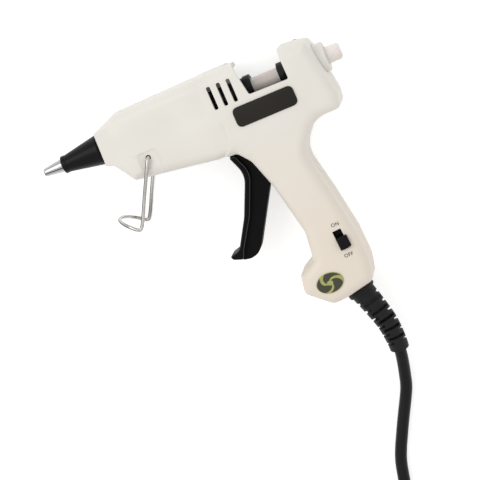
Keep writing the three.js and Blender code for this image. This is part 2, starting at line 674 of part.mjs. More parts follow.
function chamberMount(i) {
  const x = chamberStart + mountPlate.placeShares[i] * chamberLength;
  const halfWidth = mountPlate.halfWidths[i];
  const { halfHeight, thickness, cornerRadius } = mountPlate;
  const loop = roundedLoop(rectangle(-halfWidth, -halfHeight, halfWidth, halfHeight, cornerRadius));
  const slab = solidOf(moved(stacked([loop, loop], [0, thickness]), [x, 0, 0], [0, Math.PI / 2, 0]));
  const hole = barX(chamber.radius + clearance.fit, x - clearance.overrun, x + thickness + clearance.overrun);
  const gap = clearance.fit;
  const boxRoom = block(
    [boxStart - gap, -body.height, -chamber.boxHalfWidth - gap],
    [boxEnd + gap, 0, chamber.boxHalfWidth + gap],
  );
  return cut(slab, hole, boxRoom);
}

// The feed: sleeve, clip, carriage, grip, stick and inlet

function feedSleeve() {
  const outerRadius = boreRadius + sleeve.wall;
  const rim = outerRadius + sleeve.rimRise;
  const outside = turnedX([
    [sleeveStart, 0], [sleeveStart, bellRadius], [sleeveStart + sleeve.bellLength, bellRadius],
    [sleeveStart + sleeve.bellLength, outerRadius], [sleeveEnd - sleeve.rimLength, outerRadius],
    [sleeveEnd - sleeve.rimLength, rim], [sleeveEnd, rim], [sleeveEnd, 0],
  ]);
  const before = sleeveStart - clearance.overrun;
  const seat = barX(chamber.neckRadius + clearance.fit, before, chamberEnd + clearance.fit);
  return cut(outside, seat, barX(boreRadius, before, sleeveEnd + clearance.overrun));
}

function sleeveClip() {
  const ring = new THREE.TorusGeometry(
    bellRadius + clip.wireRadius + clearance.fit, clip.wireRadius, facets.wire, facets.round,
  );
  return solidOf(moved(ring, [sleeveStart + clip.setback, 0, 0], [0, Math.PI / 2, 0]));
}

function feedCarriage() {
  const waist = carriage.radius - carriage.waist;
  const ringEnd = carriageStart + carriage.ringLength;
  const outside = turnedX([
    [carriageStart, 0], [carriageStart, carriage.radius], [ringEnd, carriage.radius], [ringEnd, waist],
    [carriageEnd, waist], [carriageEnd, 0],
  ]);
  const trunnions = barZ(trunnion.radius, [trunnionX, 0], -trunnion.reach, trunnion.reach, facets.small);
  const bore = barX(boreRadius, carriageStart - clearance.overrun, carriageEnd + clearance.overrun);
  const seatStart = carriageEnd - grip.length - clearance.fit;
  const gripSeat = barX(boreRadius + grip.wall, seatStart, carriageEnd + clearance.overrun);
  return cut(join(outside, trunnions), bore, gripSeat);
}

function gripSleeve() {
  const [start, end] = [carriageEnd - grip.length, carriageEnd];
  const outside = barX(boreRadius + grip.wall - clearance.fit / 2, start, end);
  const hold = stick.radius + clearance.fit / 2;
  return cut(outside, barX(hold, start - clearance.overrun, end + clearance.overrun));
}

function glueStick() {
  const shoulder = stickEnd - stick.endCrown;
  return turnedX([
    [stickStart, 0], [stickStart, stick.radius], [shoulder, stick.radius],
    [stickEnd, stick.radius - stick.endCrown], [stickEnd, 0],
  ]);
}

function inletCollar() {
  const flangeEnd = inletFront + inlet.flangeLength;
  const flangeRadius = inlet.radius + inlet.flangeRise;
  const outside = turnedX([
    [inletFront, 0], [inletFront, flangeRadius], [flangeEnd, flangeRadius], [flangeEnd, inlet.radius],
    [inletEnd - inlet.edge, inlet.radius], [inletEnd, inlet.radius - inlet.edge],
    [inletEnd, 0],
  ]);
  return cut(outside, barX(boreRadius, inletFront - clearance.overrun, inletEnd + clearance.overrun));
}

// The trigger: finger flange, web, hub and the fork that drives the carriage

const flangeShares = [
  [0.484, -0.214, 0.003], [0.517, -0.294, 0.1], [0.443, -0.445, 0.2], [0.37, -0.556, 0.05],
  [0.3245, -0.5665, 0.01], [0.3315, -0.582, 0.015], [0.374, -0.5965, 0.015], [0.389, -0.5625, 0.05],
  [0.468, -0.449, 0.2], [0.5435, -0.293, 0.1], [0.5085, -0.2135, 0.003],
];
const webShares = [
  [0.486, -0.14, 0.006], [0.483, -0.201, 0.01], [0.488, -0.232, 0.01], [0.519, -0.294, 0.1],
  [0.446, -0.445, 0.2], [0.378, -0.556, 0.05], [0.356, -0.5905, 0.01], [0.426, -0.61, 0.15],
  [0.468, -0.57, 0.12],
  [0.593, -0.369, 0.008], [0.735, -0.218, 0.02], [0.73, -0.157, 0.02],
];

function triggerArm(side) {
  const [reachX, reachY] = [trunnionX - pivot[0], -pivot[1]];
  const reach = Math.hypot(reachX, reachY);
  const angle = Math.atan2(reachX, reachY);
  const end = reach + trigger.armPastTrunnion;
  const halfSlot = trunnion.radius + clearance.moving;
  const slotLow = strokeReach - halfSlot;
  const bar = rectangle(-trigger.armHalfWidth, 0, trigger.armHalfWidth, end, trigger.armHalfWidth / 2);
  const slot = rectangle(-halfSlot, slotLow, halfSlot, end + clearance.overrun);
  const [near, far] = [side * trigger.armInside, side * (trigger.armInside + trigger.armThickness)];
  const shape = (corners, grow) => {
    const loop = roundedLoop(corners);
    const heights = [Math.min(near, far) - grow, Math.max(near, far) + grow];
    return solidOf(moved(stacked([loop, loop], heights), [...pivot, 0], [0, 0, -angle]));
  };
  return cut(shape(bar, 0), shape(slot, clearance.fit));
}

function triggerLever() {
  const web = plate(bodyCorners(webShares), -trigger.webHalfWidth, trigger.webHalfWidth);
  const flange = plate(bodyCorners(flangeShares), -trigger.flangeHalfWidth, trigger.flangeHalfWidth);
  const hubEnd = trigger.armInside + trigger.armThickness;
  const hub = barZ(trigger.hubRadius, pivot, -hubEnd, hubEnd);
  const past = hubEnd + clearance.overrun;
  const pinHole = barZ(pin.radius + clearance.turning, pivot, -past, past);
  return cut(join(web, flange, hub, triggerArm(1), triggerArm(-1)), pinHole);
}

/** The torsion spring round the hub, both legs forward beside the web. */
function returnSpring() {
  const middle = (trigger.webHalfWidth + trigger.armInside) / 2;
  const rise = (2 * spring.wireRadius + spring.loopGap) * spring.turns;
  const points = [];
  const count = spring.turns * spring.stepsPerTurn;
  for (let i = 0; i <= count; i += 1) {
    const angle = (2 * Math.PI * i) / spring.stepsPerTurn;
    const height = middle - rise / 2 + (rise * i) / count;
    const [x, y] = [spring.coilRadius * Math.sin(angle), spring.coilRadius * Math.cos(angle)];
    points.push([pivot[0] + x, pivot[1] + y, height]);
  }
  const [first, last] = [points[0], points[points.length - 1]];
  points.unshift([first[0] - spring.legLength, first[1], first[2]]);
  points.push([last[0] - spring.legLength, last[1], last[2]]);
  return solidOf(tube(points, spring.wireRadius, 2 * points.length, spring.sides));
}

// The wire stand: hooks into both flanks, two legs and a rounded foot

const bendTuckShare = 0.3;

function standWire() {
  const lean = THREE.MathUtils.degToRad(stand.leanDegrees);
  const legWay = [-Math.sin(lean), -Math.cos(lean)];
  const footTurn = THREE.MathUtils.degToRad(stand.footDegrees);
  const footWay = [
    legWay[0] * Math.cos(footTurn) + legWay[1] * Math.sin(footTurn),
    -legWay[0] * Math.sin(footTurn) + legWay[1] * Math.cos(footTurn),
  ];
  const spot = ([down, out, z]) => {
    const [x, y] = [0, 1].map((k) => standPivot[k] + legWay[k] * down + footWay[k] * out);
    return [x, y, z];
  };
  const [spread, bend, corner] = [stand.legHalfSpacing, stand.bendRadius, stand.legLength];
  const tuck = bend * bendTuckShare;
  const legSide = [
    [0, 0, spread - stand.hookLength], [0, 0, spread - bend], [tuck, 0, spread - tuck], [bend, 0, spread],
    [corner / 2, 0, spread], [corner - bend, 0, spread], [corner - tuck, tuck, spread],
  ];
  const arch = [];
  for (let i = 0; i <= stand.archSteps; i += 1) {
    const angle = (Math.PI * i) / stand.archSteps;
    arch.push([corner, bend + (stand.footDepth - bend) * Math.sin(angle), spread * Math.cos(angle)]);
  }
  const farSide = [...legSide].reverse().map(([down, out, z]) => [down, out, -z]);
  const points = [...legSide, ...arch, ...farSide].map(spot);
  return solidOf(tube(points, stand.wireRadius, stand.steps));
}

// The switch: body, two terminals and the sliding knob

function addSwitch() {
  const top = innerHalfWidth - clearance.fit;
  const low = top - slider.bodyDepth;
  const [halfWidth, halfLength] = [slider.bodyWidth / 2, slider.bodyLength / 2];
  const casing = rectangle(-halfWidth, -halfLength, halfWidth, halfLength, clearance.moving);
  const [stemWidth, stemLength] = [slider.stemHalfWidth, slider.stemHalfLength];
  const grooveWidth = stemWidth + clearance.fit;
  const groove = rectangle(-grooveWidth, -slider.length / 2, grooveWidth, slider.length / 2);
  const stemLow = body.halfWidth + clearance.fit - slider.stemDepth;
  const room = sliderPlate(groove, stemLow - clearance.fit, top + clearance.overrun);
  addPiece('switch_body', cut(sliderPlate(casing, low, top), room), blackPlastic);

  const restShift = -slider.travel / 2;
  const padLow = body.halfWidth + clearance.fit;
  const [padFrom, padTo] = [restShift - slider.knobDown, restShift + slider.knobUp];
  const pad = rectangle(-slider.knobLeft, padFrom, slider.knobRight, padTo, clearance.moving);
  const stem = rectangle(-stemWidth, restShift - stemLength, stemWidth, restShift + stemLength);
  const knobTop = sliderPlate(pad, padLow, padLow + slider.knobRise);
  const knobStem = sliderPlate(stem, stemLow, padLow + clearance.fit);
  addPiece('switch_knob', join(knobTop, knobStem), blackPlastic);

  [1, -1].forEach((side, i) => {
    const y = side * slider.terminalSpacing / 2;
    const [wide, thick] = [slider.terminalWidth / 2, slider.terminalThickness / 2];
    const blade = rectangle(-wide, y - thick, wide, y + thick);
    addPiece(`switch_terminal_${i + 1}`, sliderPlate(blade, low - slider.terminalLength, low), brass);
  });
}

// The lead: its route from the clamp inside the handle, through the relief and over the floor

const leadPath = new THREE.CatmullRomCurve3(leadRoute.map(([x, y, height]) => {
  return new THREE.Vector3(butt[0] + x, butt[1] + y, floorZ + height);
}));
leadPath.arcLengthDivisions = steps.pathSamples;
const leadLength = leadPath.getLength();

/** Where the lead is after a distance from its start, with its way and two directions square to it. */
function leadStation(distance) {
  const share = distance / leadLength;
  const spot = leadPath.getPointAt(share);
  const way = leadPath.getTangentAt(share);
  const side = new THREE.Vector3().crossVectors(way, new THREE.Vector3(0, 0, 1)).normalize();
  return { spot, way, side, up: new THREE.Vector3().crossVectors(side, way) };
}

/** The faces of a tube of rings, with its two end caps. */
function addRingFaces(index, rings, sides) {
  for (let level = 1; level < rings; level += 1) {
    for (let k = 0; k < sides; k += 1) {
      const [a, b] = [(level - 1) * sides + k, (level - 1) * sides + ((k + 1) % sides)];
      index.push(a, b, b + sides, a, b + sides, a + sides);
    }
  }
  const last = (rings - 1) * sides;
  for (let k = 1; k + 1 < sides; k += 1) index.push(0, k + 1, k, last, last + k, last + k + 1);
}

function indexed(positions, index) {
  const geometry = new THREE.BufferGeometry();
  geometry.setAttribute('position', new THREE.Float32BufferAttribute(positions, 3));
  geometry.setIndex(index);
  return geometry;
}

/** A turned shape carried along the lead, from [distance past the butt, radius] stations. */
function alongLead(stations, sides) {
  const positions = [];
  const index = [];
  stations.forEach(([distance, radius]) => {
    const { spot, side, up } = leadStation(distance + cord.insideLength);
    for (let k = 0; k < sides; k += 1) {
      const angle = (2 * Math.PI * k) / sides;
      const point = spot.clone().addScaledVector(side, radius * Math.cos(angle));
      positions.push(...point.addScaledVector(up, radius * Math.sin(angle)).toArray());
    }
  });
  addRingFaces(index, stations.length, sides);
  return solidOf(indexed(positions, index));
}

/** Even stations of one radius between two distances. */
function evenStations(from, to, count, radius) {
  return Array.from({ length: count + 1 }, (_, i) => [from + ((to - from) * i) / count, radius]);
}

function strainRelief() {
  const radiusAt = (s) => {
    const share = Math.max(0, s - relief.flangeLength) / (relief.length - relief.flangeLength);
    return relief.rootRadius + (relief.endRadius - relief.rootRadius) * share;
  };
  const { keeperDepth, keeperLength, keeperRadius, neckRadius, flangeLength, flangeRise } = relief;
  const step = relief.grooveSlope;
  const stations = [
    [-keeperDepth - keeperLength, keeperRadius], [-keeperDepth, keeperRadius],
    [-keeperDepth + step, neckRadius], [clearance.fit, neckRadius],
    [clearance.fit + step, relief.rootRadius + flangeRise],
    [flangeLength, relief.rootRadius + flangeRise], [flangeLength + step, relief.rootRadius],
  ];
  const pitch = (relief.lastRib - relief.firstRib) / (relief.ribs - 1);
  for (let i = 0; i < relief.ribs; i += 1) {
    const s = relief.firstRib + i * pitch;
    const deep = radiusAt(s) - relief.grooveDepth;
    stations.push([s, radiusAt(s)], [s + step, deep], [s + relief.grooveLength, deep]);
    stations.push([s + relief.grooveLength + step, radiusAt(s + relief.grooveLength)]);
  }
  stations.push([relief.length, relief.endRadius]);
  const boreStart = -keeperDepth - keeperLength - clearance.overrun;
  const boreEnd = relief.length + clearance.overrun;
  const bore = evenStations(boreStart, boreEnd, steps.relief, cord.radius + clearance.fit);
  return cut(alongLead(stations, relief.sides), alongLead(bore, cord.sides));
}

/** The hole that the relief's neck and keeper fill, at the handle's butt. */
function reliefRoom() {
  const { keeperDepth, keeperLength, keeperRadius, neckRadius } = relief;
  const gap = clearance.fit;
  const hole = (from, to, radius) => alongLead([[from, radius + gap], [to, radius + gap]], facets.round);
  const neck = hole(-keeperDepth, relief.flangeLength, neckRadius);
  return join(neck, hole(-keeperDepth - keeperLength - gap, -keeperDepth + gap, keeperRadius));
}

/** Where the clamp sits on the lead, and the two places beside it where its screws go. */
function clampSpots() {
  const { spot, side } = leadStation(cord.insideLength - clamp.distance);
  const beside = [1, -1].map((way) => spot.clone().addScaledVector(side, way * clamp.screwReach));
  return { spot, side, beside };
}

function clampPosts() {
  const low = floorZ + body.wall / 2;
  return join(...clampSpots().beside.map(({ x, y }) => {
    return barZ(clamp.postRadius, [x, y], low, cord.radius, facets.small);
  }));
}

function clampPilots() {
  const low = cord.radius - clamp.screwLength;
  return clampSpots().beside.map(({ x, y }) => {
    return barZ(clamp.screwRadius + clearance.fit, [x, y], low, cord.radius + clearance.fit, facets.wire);
  });
}

function addClamp() {
  const { spot, side, beside } = clampSpots();
  const under = cord.radius + clearance.fit;
  const { halfLength, halfWidth } = clamp;
  const loop = roundedLoop(rectangle(-halfLength, -halfWidth, halfLength, halfWidth, halfWidth / 2));
  const turn = Math.atan2(side.y, side.x);
  const bar = stacked([loop, loop], [under, under + clamp.thickness]);
  const holeRadius = clamp.screwRadius + clearance.fit;
  const holes = beside.map(({ x, y }) => barZ(holeRadius, [x, y], 0, body.halfWidth, facets.wire));
  const plateForm = solidOf(moved(bar, [spot.x, spot.y, 0], [0, 0, turn]));
  addPiece('cord_clamp', cut(plateForm, ...holes), blackPlastic);
  const headLow = under + clamp.thickness + clearance.fit / 2;
  beside.forEach(({ x, y }, i) => {
    const head = barZ(clamp.headRadius, [x, y], headLow, headLow + clamp.headHeight, facets.small);
    const shank = barZ(clamp.screwRadius, [x, y], headLow - clamp.screwLength, headLow, facets.wire);
    addPiece(`clamp_screw_${i + 1}`, join(head, shank), zincSteel);
  });
}

/** Points of the lead between two distances past the butt, with one close to each end that holds its way. */
function leadPoints(from, to, count) {
  const even = evenStations(from, to, count, 0).map(([distance]) => distance);
  const distances = [from, from + clearance.fit, ...even.slice(1, -1), to - clearance.fit, to];
  return distances.map((distance) => leadStation(distance + cord.insideLength).spot.toArray());
}

// The coil: one tube that spirals in on the surface, climbs as it reverses, and spirals out on top

const loopPitch = 2 * cord.radius + cord.gap;
const outerRadius = cord.innerRadius + loopPitch * cord.turnsEachWay;
const leadEndWay = leadPath.getTangentAt(1);
const coilEntry = leadPath.getPointAt(1).addScaledVector(leadEndWay, 2 * cord.radius + clearance.fit);
const towardsCentre = new THREE.Vector3(leadEndWay.y, -leadEndWay.x, 0).normalize();
const coilCentre = towardsCentre.clone().multiplyScalar(outerRadius).add(coilEntry);
const entryAngle = Math.atan2(-towardsCentre.y, -towardsCentre.x);

const climbMiddleShare = 0.5;

/** The coil's axis at a count of turns from where it reverses. */
function coilPoint(turns) {
  const radius = cord.innerRadius + loopPitch * Math.abs(turns);
  const angle = entryAngle - 2 * Math.PI * (turns + cord.turnsEachWay);
  const climb = loopPitch * THREE.MathUtils.clamp(2 * turns + climbMiddleShare, 0, 1);
  const [x, y] = [radius * Math.cos(angle), radius * Math.sin(angle)];
  return new THREE.Vector3(coilCentre.x + x, coilCentre.y + y, coilEntry.z + climb);
}

const turnSteps = Math.round(2 * cord.turnsEachWay * cord.stepsPerTurn);
const turnPoints = Array.from({ length: turnSteps + 1 }, (_, i) => {
  return coilPoint(cord.turnsEachWay * (2 * i / turnSteps - 1));
});
const coilExit = turnPoints[turnSteps];
const exitWay = coilExit.clone().sub(turnPoints[turnSteps - 1]).setZ(0).normalize();
const coilPoints = [
  coilEntry.clone().addScaledVector(leadEndWay, -2 * cord.radius),
  ...turnPoints,
  coilExit.clone().addScaledVector(exitWay, 2 * cord.radius),
];

/** A tube straight from point to point, its rings square to its way. */
function ringTube(points, radius, sides) {
  const positions = [];
  const index = [];
  points.forEach((point, level) => {
    const [before, after] = [points[Math.max(level - 1, 0)], points[Math.min(level + 1, points.length - 1)]];
    const way = after.clone().sub(before).normalize();
    const side = new THREE.Vector3(way.y, -way.x, 0).normalize();
    const up = new THREE.Vector3().crossVectors(side, way);
    for (let k = 0; k < sides; k += 1) {
      const angle = (2 * Math.PI * k) / sides;
      const spot = point.clone().addScaledVector(side, radius * Math.cos(angle));
      positions.push(...spot.addScaledVector(up, radius * Math.sin(angle)).toArray());
    }
  });
  addRingFaces(index, points.length, sides);
  return solidOf(indexed(positions, index));
}

/** How near the coil's tube comes to itself, on points along it at least half a turn apart. */
function coilGap() {
  const samples = coilPoints.slice(0, -1).flatMap((point, i) => {
    const next = coilPoints[i + 1];
    return Array.from({ length: steps.gapSamples }, (_, k) => point.clone().lerp(next, k / steps.gapSamples));
  });
  const apart = cord.stepsPerTurn * steps.gapSamples / 2;
  let least = Infinity;
  samples.forEach((point, i) => {
    for (let j = i + apart; j < samples.length; j += 1) {
      least = Math.min(least, point.distanceTo(samples[j]));
    }
  });
  return least - 2 * cord.radius;
}

/** How long a line of points is. */
function lengthOf(points) {
  return points.slice(1).reduce((sum, point, i) => sum + point.distanceTo(points[i]), 0);
}

// The tail, the plug and its pins

const tailPoints = [
  ...[1, 2].map((gaps) => coilExit.clone().addScaledVector(exitWay, 2 * cord.radius + gaps * clearance.fit)),
  ...tailRoute.map(([x, y, height]) => new THREE.Vector3(coilExit.x + x, coilExit.y + y, floorZ + height)),
];
const tailEnd = tailPoints[tailPoints.length - 1];
const plugWay = tailEnd.clone().sub(tailPoints[tailPoints.length - 2]).setZ(0).normalize();
const plugTurn = Math.atan2(plugWay.y, plugWay.x);
const plugStart = tailEnd.clone().addScaledVector(plugWay, clearance.fit);

function addPlug() {
  const { length, waist, shoulder, halfWidth, cornerRadius } = plug;
  const side = [
    [0, plug.rearHalfWidth, cornerRadius], [waist, plug.waistHalfWidth, cornerRadius],
    [shoulder, halfWidth, cornerRadius], [length, halfWidth, cornerRadius],
  ];
  const corners = [...side, ...[...side].reverse().map(([x, y, radius]) => [x, -y, radius])];
  const cushion = pillow(corners, plug.halfHeight, plug.edgeRadius);
  const form = solidOf(moved(cushion, plugStart.toArray(), [0, 0, plugTurn]));
  const across = new THREE.Vector3(-plugWay.y, plugWay.x, 0);
  const pinSpots = [1, -1].map((way) => {
    const spot = plugStart.clone().addScaledVector(plugWay, length - plug.pinDepth);
    return spot.addScaledVector(across, way * plug.pinSpacing / 2);
  });
  const bar = (radius, spot, barLength) => {
    const cylinder = new THREE.CylinderGeometry(radius, radius, barLength, facets.small);
    const middle = spot.clone().addScaledVector(plugWay, barLength / 2);
    return solidOf(moved(cylinder, middle.toArray(), [0, 0, plugTurn - Math.PI / 2]));
  };
  const sockets = pinSpots.map((spot) => bar(plug.pinRadius + clearance.fit, spot, plug.length));
  addPiece('plug_body', cut(form, ...sockets), blackPlastic);
  pinSpots.forEach((spot, i) => {
    const start = spot.clone().addScaledVector(plugWay, clearance.fit);
    addPiece(`plug_pin_${i + 1}`, bar(plug.pinRadius, start, plug.pinDepth + plug.pinLength), brass);
  });
}

// The wires inside, as shares of the body's length, height and half width

const leftWireShares = [
  [0.396, -0.085, 0.17], [0.425, -0.11, 0.36], [0.47, -0.133, 0.57], [0.53, -0.142, 0.68],
  [0.61, -0.145, 0.73], [0.676, -0.257, 0.73], [0.716, -0.413, 0.64], [0.762, -0.55, 0.36],
  [0.783, -0.6, 0.01], [0.7815, -0.6195, 0.04],
];
const rightWireShares = [
  [0.4, -0.101, -0.21], [0.43, -0.119, -0.39], [0.48, -0.136, -0.59], [0.54, -0.142, -0.7],
  [0.61, -0.147, -0.73], [0.676, -0.257, -0.73], [0.72, -0.385, -0.66], [0.755, -0.514, -0.43],
  [0.75, -0.624, -0.18],
];
const switchWireShares = [[0.783, -0.679, -0.05], [0.757, -0.666, -0.08], [0.731, -0.69, 0.04]];

function wireAlong(shares, start, end) {
  const middle = shares.map(([alongShare, upShare, sideShare]) => {
    return [...place([alongShare, upShare]), sideShare * body.halfWidth];
  });
  const points = [start, ...middle, end];
  return solidOf(tube(points, wire.radius, 2 * points.length, facets.wire));
}

function addWires() {
  const tabEnd = pocketStart + clearance.moving + heater.length + heater.tabLength + clearance.fit;
  const tabMiddle = (heater.thickness + heater.electrode) / 2;
  const tabs = [1, -1].map((side) => [tabEnd, pocketMiddle + side * tabMiddle, side * heater.halfWidth / 2]);
  const bladeEnd = innerHalfWidth - clearance.fit - slider.bodyDepth - slider.terminalLength - clearance.fit;
  const turn = THREE.MathUtils.degToRad(slider.turnDegrees);
  const blades = [1, -1].map((side) => {
    const [x, y] = place(slider.centreShares);
    const reach = side * slider.terminalSpacing / 2;
    return [x - reach * Math.sin(turn), y + reach * Math.cos(turn), bladeEnd];
  });
  const { spot, way } = leadStation(0);
  const leadEnds = [1, -1].map((side) => {
    const end = spot.clone().addScaledVector(way, -clearance.fit);
    return [end.x, end.y, end.z + side * wire.pairHalfSpacing];
  });
  addPiece('heater_wire_left', wireAlong(leftWireShares, tabs[0], blades[0]), redWire);
  addPiece('heater_wire_right', wireAlong(rightWireShares, tabs[1], leadEnds[1]), blueWire);
  addPiece('switch_wire', wireAlong(switchWireShares, blades[1], leadEnds[0]), redWire);
}

// Every piece, from the housing inwards and then along the lead

addPiece('left_shell', shellHalf(1), offWhite);
addPiece('right_shell', shellHalf(-1), offWhite);
addHousingScrews();
addPiece('label_plate', labelPlate(), blackPlastic);
addPiece('badge', badgePlate(), limeBadge);
addPiece('nozzle_tip', nozzleTip(), brightSteel);
addPiece('nozzle_cover', nozzleCover(), nozzleRubber);
addPiece('melt_chamber', meltChamber(), castAluminium);
addHeater();
addPiece('chamber_mount_front', chamberMount(0), phenolic);
addPiece('chamber_mount_rear', chamberMount(1), phenolic);
addPiece('feed_sleeve', feedSleeve(), blackPlastic);
addPiece('sleeve_clip', sleeveClip(), brightSteel);
addPiece('feed_carriage', feedCarriage(), blackPlastic);
addPiece('grip_sleeve', gripSleeve(), darkRubber);
addPiece('glue_stick', glueStick(), milkyGlue);
addPiece('inlet_collar', inletCollar(), offWhite);
addPiece('trigger', triggerLever(), blackPlastic);
addPiece('trigger_pivot_pin', barZ(pin.radius, pivot, -pin.halfLength, pin.halfLength), zincSteel);
addPiece('return_spring', returnSpring(), brightSteel);
addPiece('stand_wire', standWire(), brightSteel);
addSwitch();
addClamp();
addPiece('strain_relief', strainRelief(), darkRubber);
const innerPoints = leadPoints(-cord.insideLength, relief.length, steps.inner);
addPiece('cord_inner', solidOf(tube(innerPoints, cord.radius, steps.inner, cord.sides)), blackPlastic);
addWires();

// The model stands with its origin at the bottom centre of everything but the lead past its strain relief
const extent = new THREE.Box3().setFromObject(gun);
const middle = extent.getCenter(new THREE.Vector3());

const leadStretch = leadPoints(relief.length + clearance.fit, leadLength - cord.insideLength, steps.lead);
addPiece('cord_lead', solidOf(tube(leadStretch, cord.radius, 2 * steps.lead, cord.sides)), blackPlastic);
addPiece('cord_coil', ringTube(coilPoints, cord.radius, cord.loopSides), blackPlastic);
const tailStretch = tailPoints.map((point) => point.toArray());
addPiece('cord_tail', solidOf(tube(tailStretch, cord.radius, steps.tail, cord.sides)), blackPlastic);
addPlug();

const cordLength = leadLength + lengthOf(coilPoints) + lengthOf(tailPoints);
const [gapText, cordText] = [coilGap().toFixed(2), cordLength.toFixed(0)];
console.log(`coil: least gap to itself ${gapText} mm, lead ${cordText} mm long in all`);

gun.position.set(-middle.x, -middle.y, -extent.min.z);
const model = new THREE.Group();
model.add(gun);

export default model;
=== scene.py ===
"""A mini hot glue gun with a wire stand, lying on its right side, and its coiled mains lead.

Shapes are worked out in the gun's own frame: millimetres, X back along the barrel from the nozzle's
end, Y up the gun and Z out of its left side, all from the glue stick's axis. GunFrame moves them to
the model's frame, in metres.
"""

import logging
import math
from dataclasses import dataclass
from enum import Enum
from typing import Callable, Iterable, Optional, Sequence

import bmesh
import bpy
import numpy as np
from mathutils import Matrix, Vector


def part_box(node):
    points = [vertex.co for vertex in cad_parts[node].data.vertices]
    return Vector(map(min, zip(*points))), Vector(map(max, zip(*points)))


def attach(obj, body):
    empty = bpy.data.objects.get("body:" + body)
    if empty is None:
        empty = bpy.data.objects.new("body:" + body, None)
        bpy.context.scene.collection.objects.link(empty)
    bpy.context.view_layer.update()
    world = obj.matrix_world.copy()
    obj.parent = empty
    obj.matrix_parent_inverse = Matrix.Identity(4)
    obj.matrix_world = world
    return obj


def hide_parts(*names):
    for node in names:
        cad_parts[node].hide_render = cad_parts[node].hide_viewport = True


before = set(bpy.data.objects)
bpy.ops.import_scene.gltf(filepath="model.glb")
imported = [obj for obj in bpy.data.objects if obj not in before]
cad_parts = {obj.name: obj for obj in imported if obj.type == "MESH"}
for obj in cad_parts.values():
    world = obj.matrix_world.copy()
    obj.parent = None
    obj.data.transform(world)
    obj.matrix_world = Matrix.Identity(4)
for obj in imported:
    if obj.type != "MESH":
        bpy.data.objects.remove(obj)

LOG = logging.getLogger("glue_gun")
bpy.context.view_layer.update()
MILLIMETRE = 0.001
MELDED_WITHIN = 1e-7
CRISP = 0.02

# The most of an outline's edge, and of an open line's leg, that one rounded corner takes up
EDGE_SHARE = 0.45
LEG_SHARE = 0.48

Colour = tuple[int, int, int]
Corner = tuple[float, float, float]
Pair = tuple[float, float]
Line = tuple[Pair, ...]
Outline = tuple[Corner, ...]
Material = bpy.types.Material
Socket = bpy.types.NodeSocket
Solid = bpy.types.Object


# Named choices


class Joining(Enum):
    """How one solid takes up another."""

    ADD = "UNION"
    CUT = "DIFFERENCE"
    KEEP = "INTERSECT"


class Body(Enum):
    """The bodies that pieces ride on."""

    HOUSING = "housing"
    TRIGGER = "trigger"
    FEED = "feed"
    STICK = "stick"
    STAND = "stand"
    KNOB = "knob"


class Side(Enum):
    """The gun's two sides, by the sign of Z."""

    LEFT = 1
    RIGHT = -1


class Grain(Enum):
    """Which way a metal's brushing runs: how much the pattern is stretched along each axis."""

    TURNED = (14.0, 1.0, 1.0)
    DRAWN = (1.0, 6.0, 1.0)
    CAST = (1.0, 1.0, 1.0)


# The gun's frame


@dataclass(frozen=True)
class GunFrame:
    """Where the gun's own frame lies in the model's frame.

    The nozzle's end and the trigger's pin are found in the CAD nodes' boxes, so a moved frame
    carries every piece with it.
    """

    pivot: Pair = (103.008, -20.928)

    def shift(self) -> np.ndarray:
        """Returns the gun frame's origin in the model's frame, in millimetres."""
        tip_low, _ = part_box("nozzle_tip")
        pin_low, pin_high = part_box("trigger_pivot_pin")
        middle = (pin_low + pin_high) / 2 / MILLIMETRE
        return np.array([tip_low.x / MILLIMETRE, middle.y - self.pivot[1], middle.z])

    def metres(self, points: np.ndarray | Sequence[float]) -> np.ndarray:
        """Moves points of the gun's frame to the model's frame.

        Args:
            points: X, Y and Z in millimetres, alone or in rows.

        Returns:
            The same points in the model's frame, in metres.
        """
        return (np.asarray(points, dtype=float) + self.shift()) * MILLIMETRE


GUN = GunFrame()


def placed(name: str, data: bpy.types.ID) -> Solid:
    """Puts data into the scene as a new object and returns it.

    Args:
        name: the object's name.
        data: a mesh, curve, camera or lamp.

    Returns:
        The object, at the origin.
    """
    item = bpy.data.objects.new(name, data)
    bpy.context.scene.collection.objects.link(item)
    return item


# Surfaces


@dataclass
class Surface:
    """A closed surface: points in millimetres in the gun's frame, and faces by index."""

    points: np.ndarray
    faces: list[list[int]]

    def to_object(self, name: str) -> Solid:
        """Puts the surface into an object, its doubled points melded, its faces turned outwards.

        Args:
            name: the object's name.

        Returns:
            The object, at the origin.
        """
        mesh = bpy.data.meshes.new(name)
        mesh.from_pydata(GUN.metres(self.points).tolist(), [], self.faces)
        work = bmesh.new()
        work.from_mesh(mesh)
        bmesh.ops.remove_doubles(work, verts=work.verts, dist=MELDED_WITHIN)
        bmesh.ops.recalc_face_normals(work, faces=work.faces)
        work.to_mesh(mesh)
        work.free()
        return placed(name, mesh)

    def moved(self, x: float, y: float, z: float) -> "Surface":
        """Returns the surface moved along each axis."""
        return Surface(self.points + np.array([x, y, z]), self.faces)

    def about(self, spot: Pair, degrees: float) -> "Surface":
        """Turns the surface about Z and moves it to a spot.

        Args:
            spot: X and Y of where its origin goes.
            degrees: the angle, to the left.

        Returns:
            The turned surface.
        """
        angle = math.radians(degrees)
        turn = np.array([[math.cos(angle), -math.sin(angle)], [math.sin(angle), math.cos(angle)]])
        flat = self.points[:, :2] @ turn.T + np.array(spot)
        return Surface(np.column_stack([flat, self.points[:, 2]]), self.faces)


def unit(rows: np.ndarray) -> np.ndarray:
    """Returns each row divided by its own length."""
    return rows / np.linalg.norm(rows, axis=-1, keepdims=True)


def full_turn(count: int) -> np.ndarray:
    """Returns a count of even angles round a full turn."""
    return np.linspace(0, 2 * math.pi, count, endpoint=False)


def step(value: np.ndarray, width: float) -> np.ndarray:
    """Rises smoothly from 0 to 1 as a value goes from 0 to a width: t^2 (3 - 2t)."""
    t = np.clip(value / width, 0, 1)
    return t * t * (3 - 2 * t)


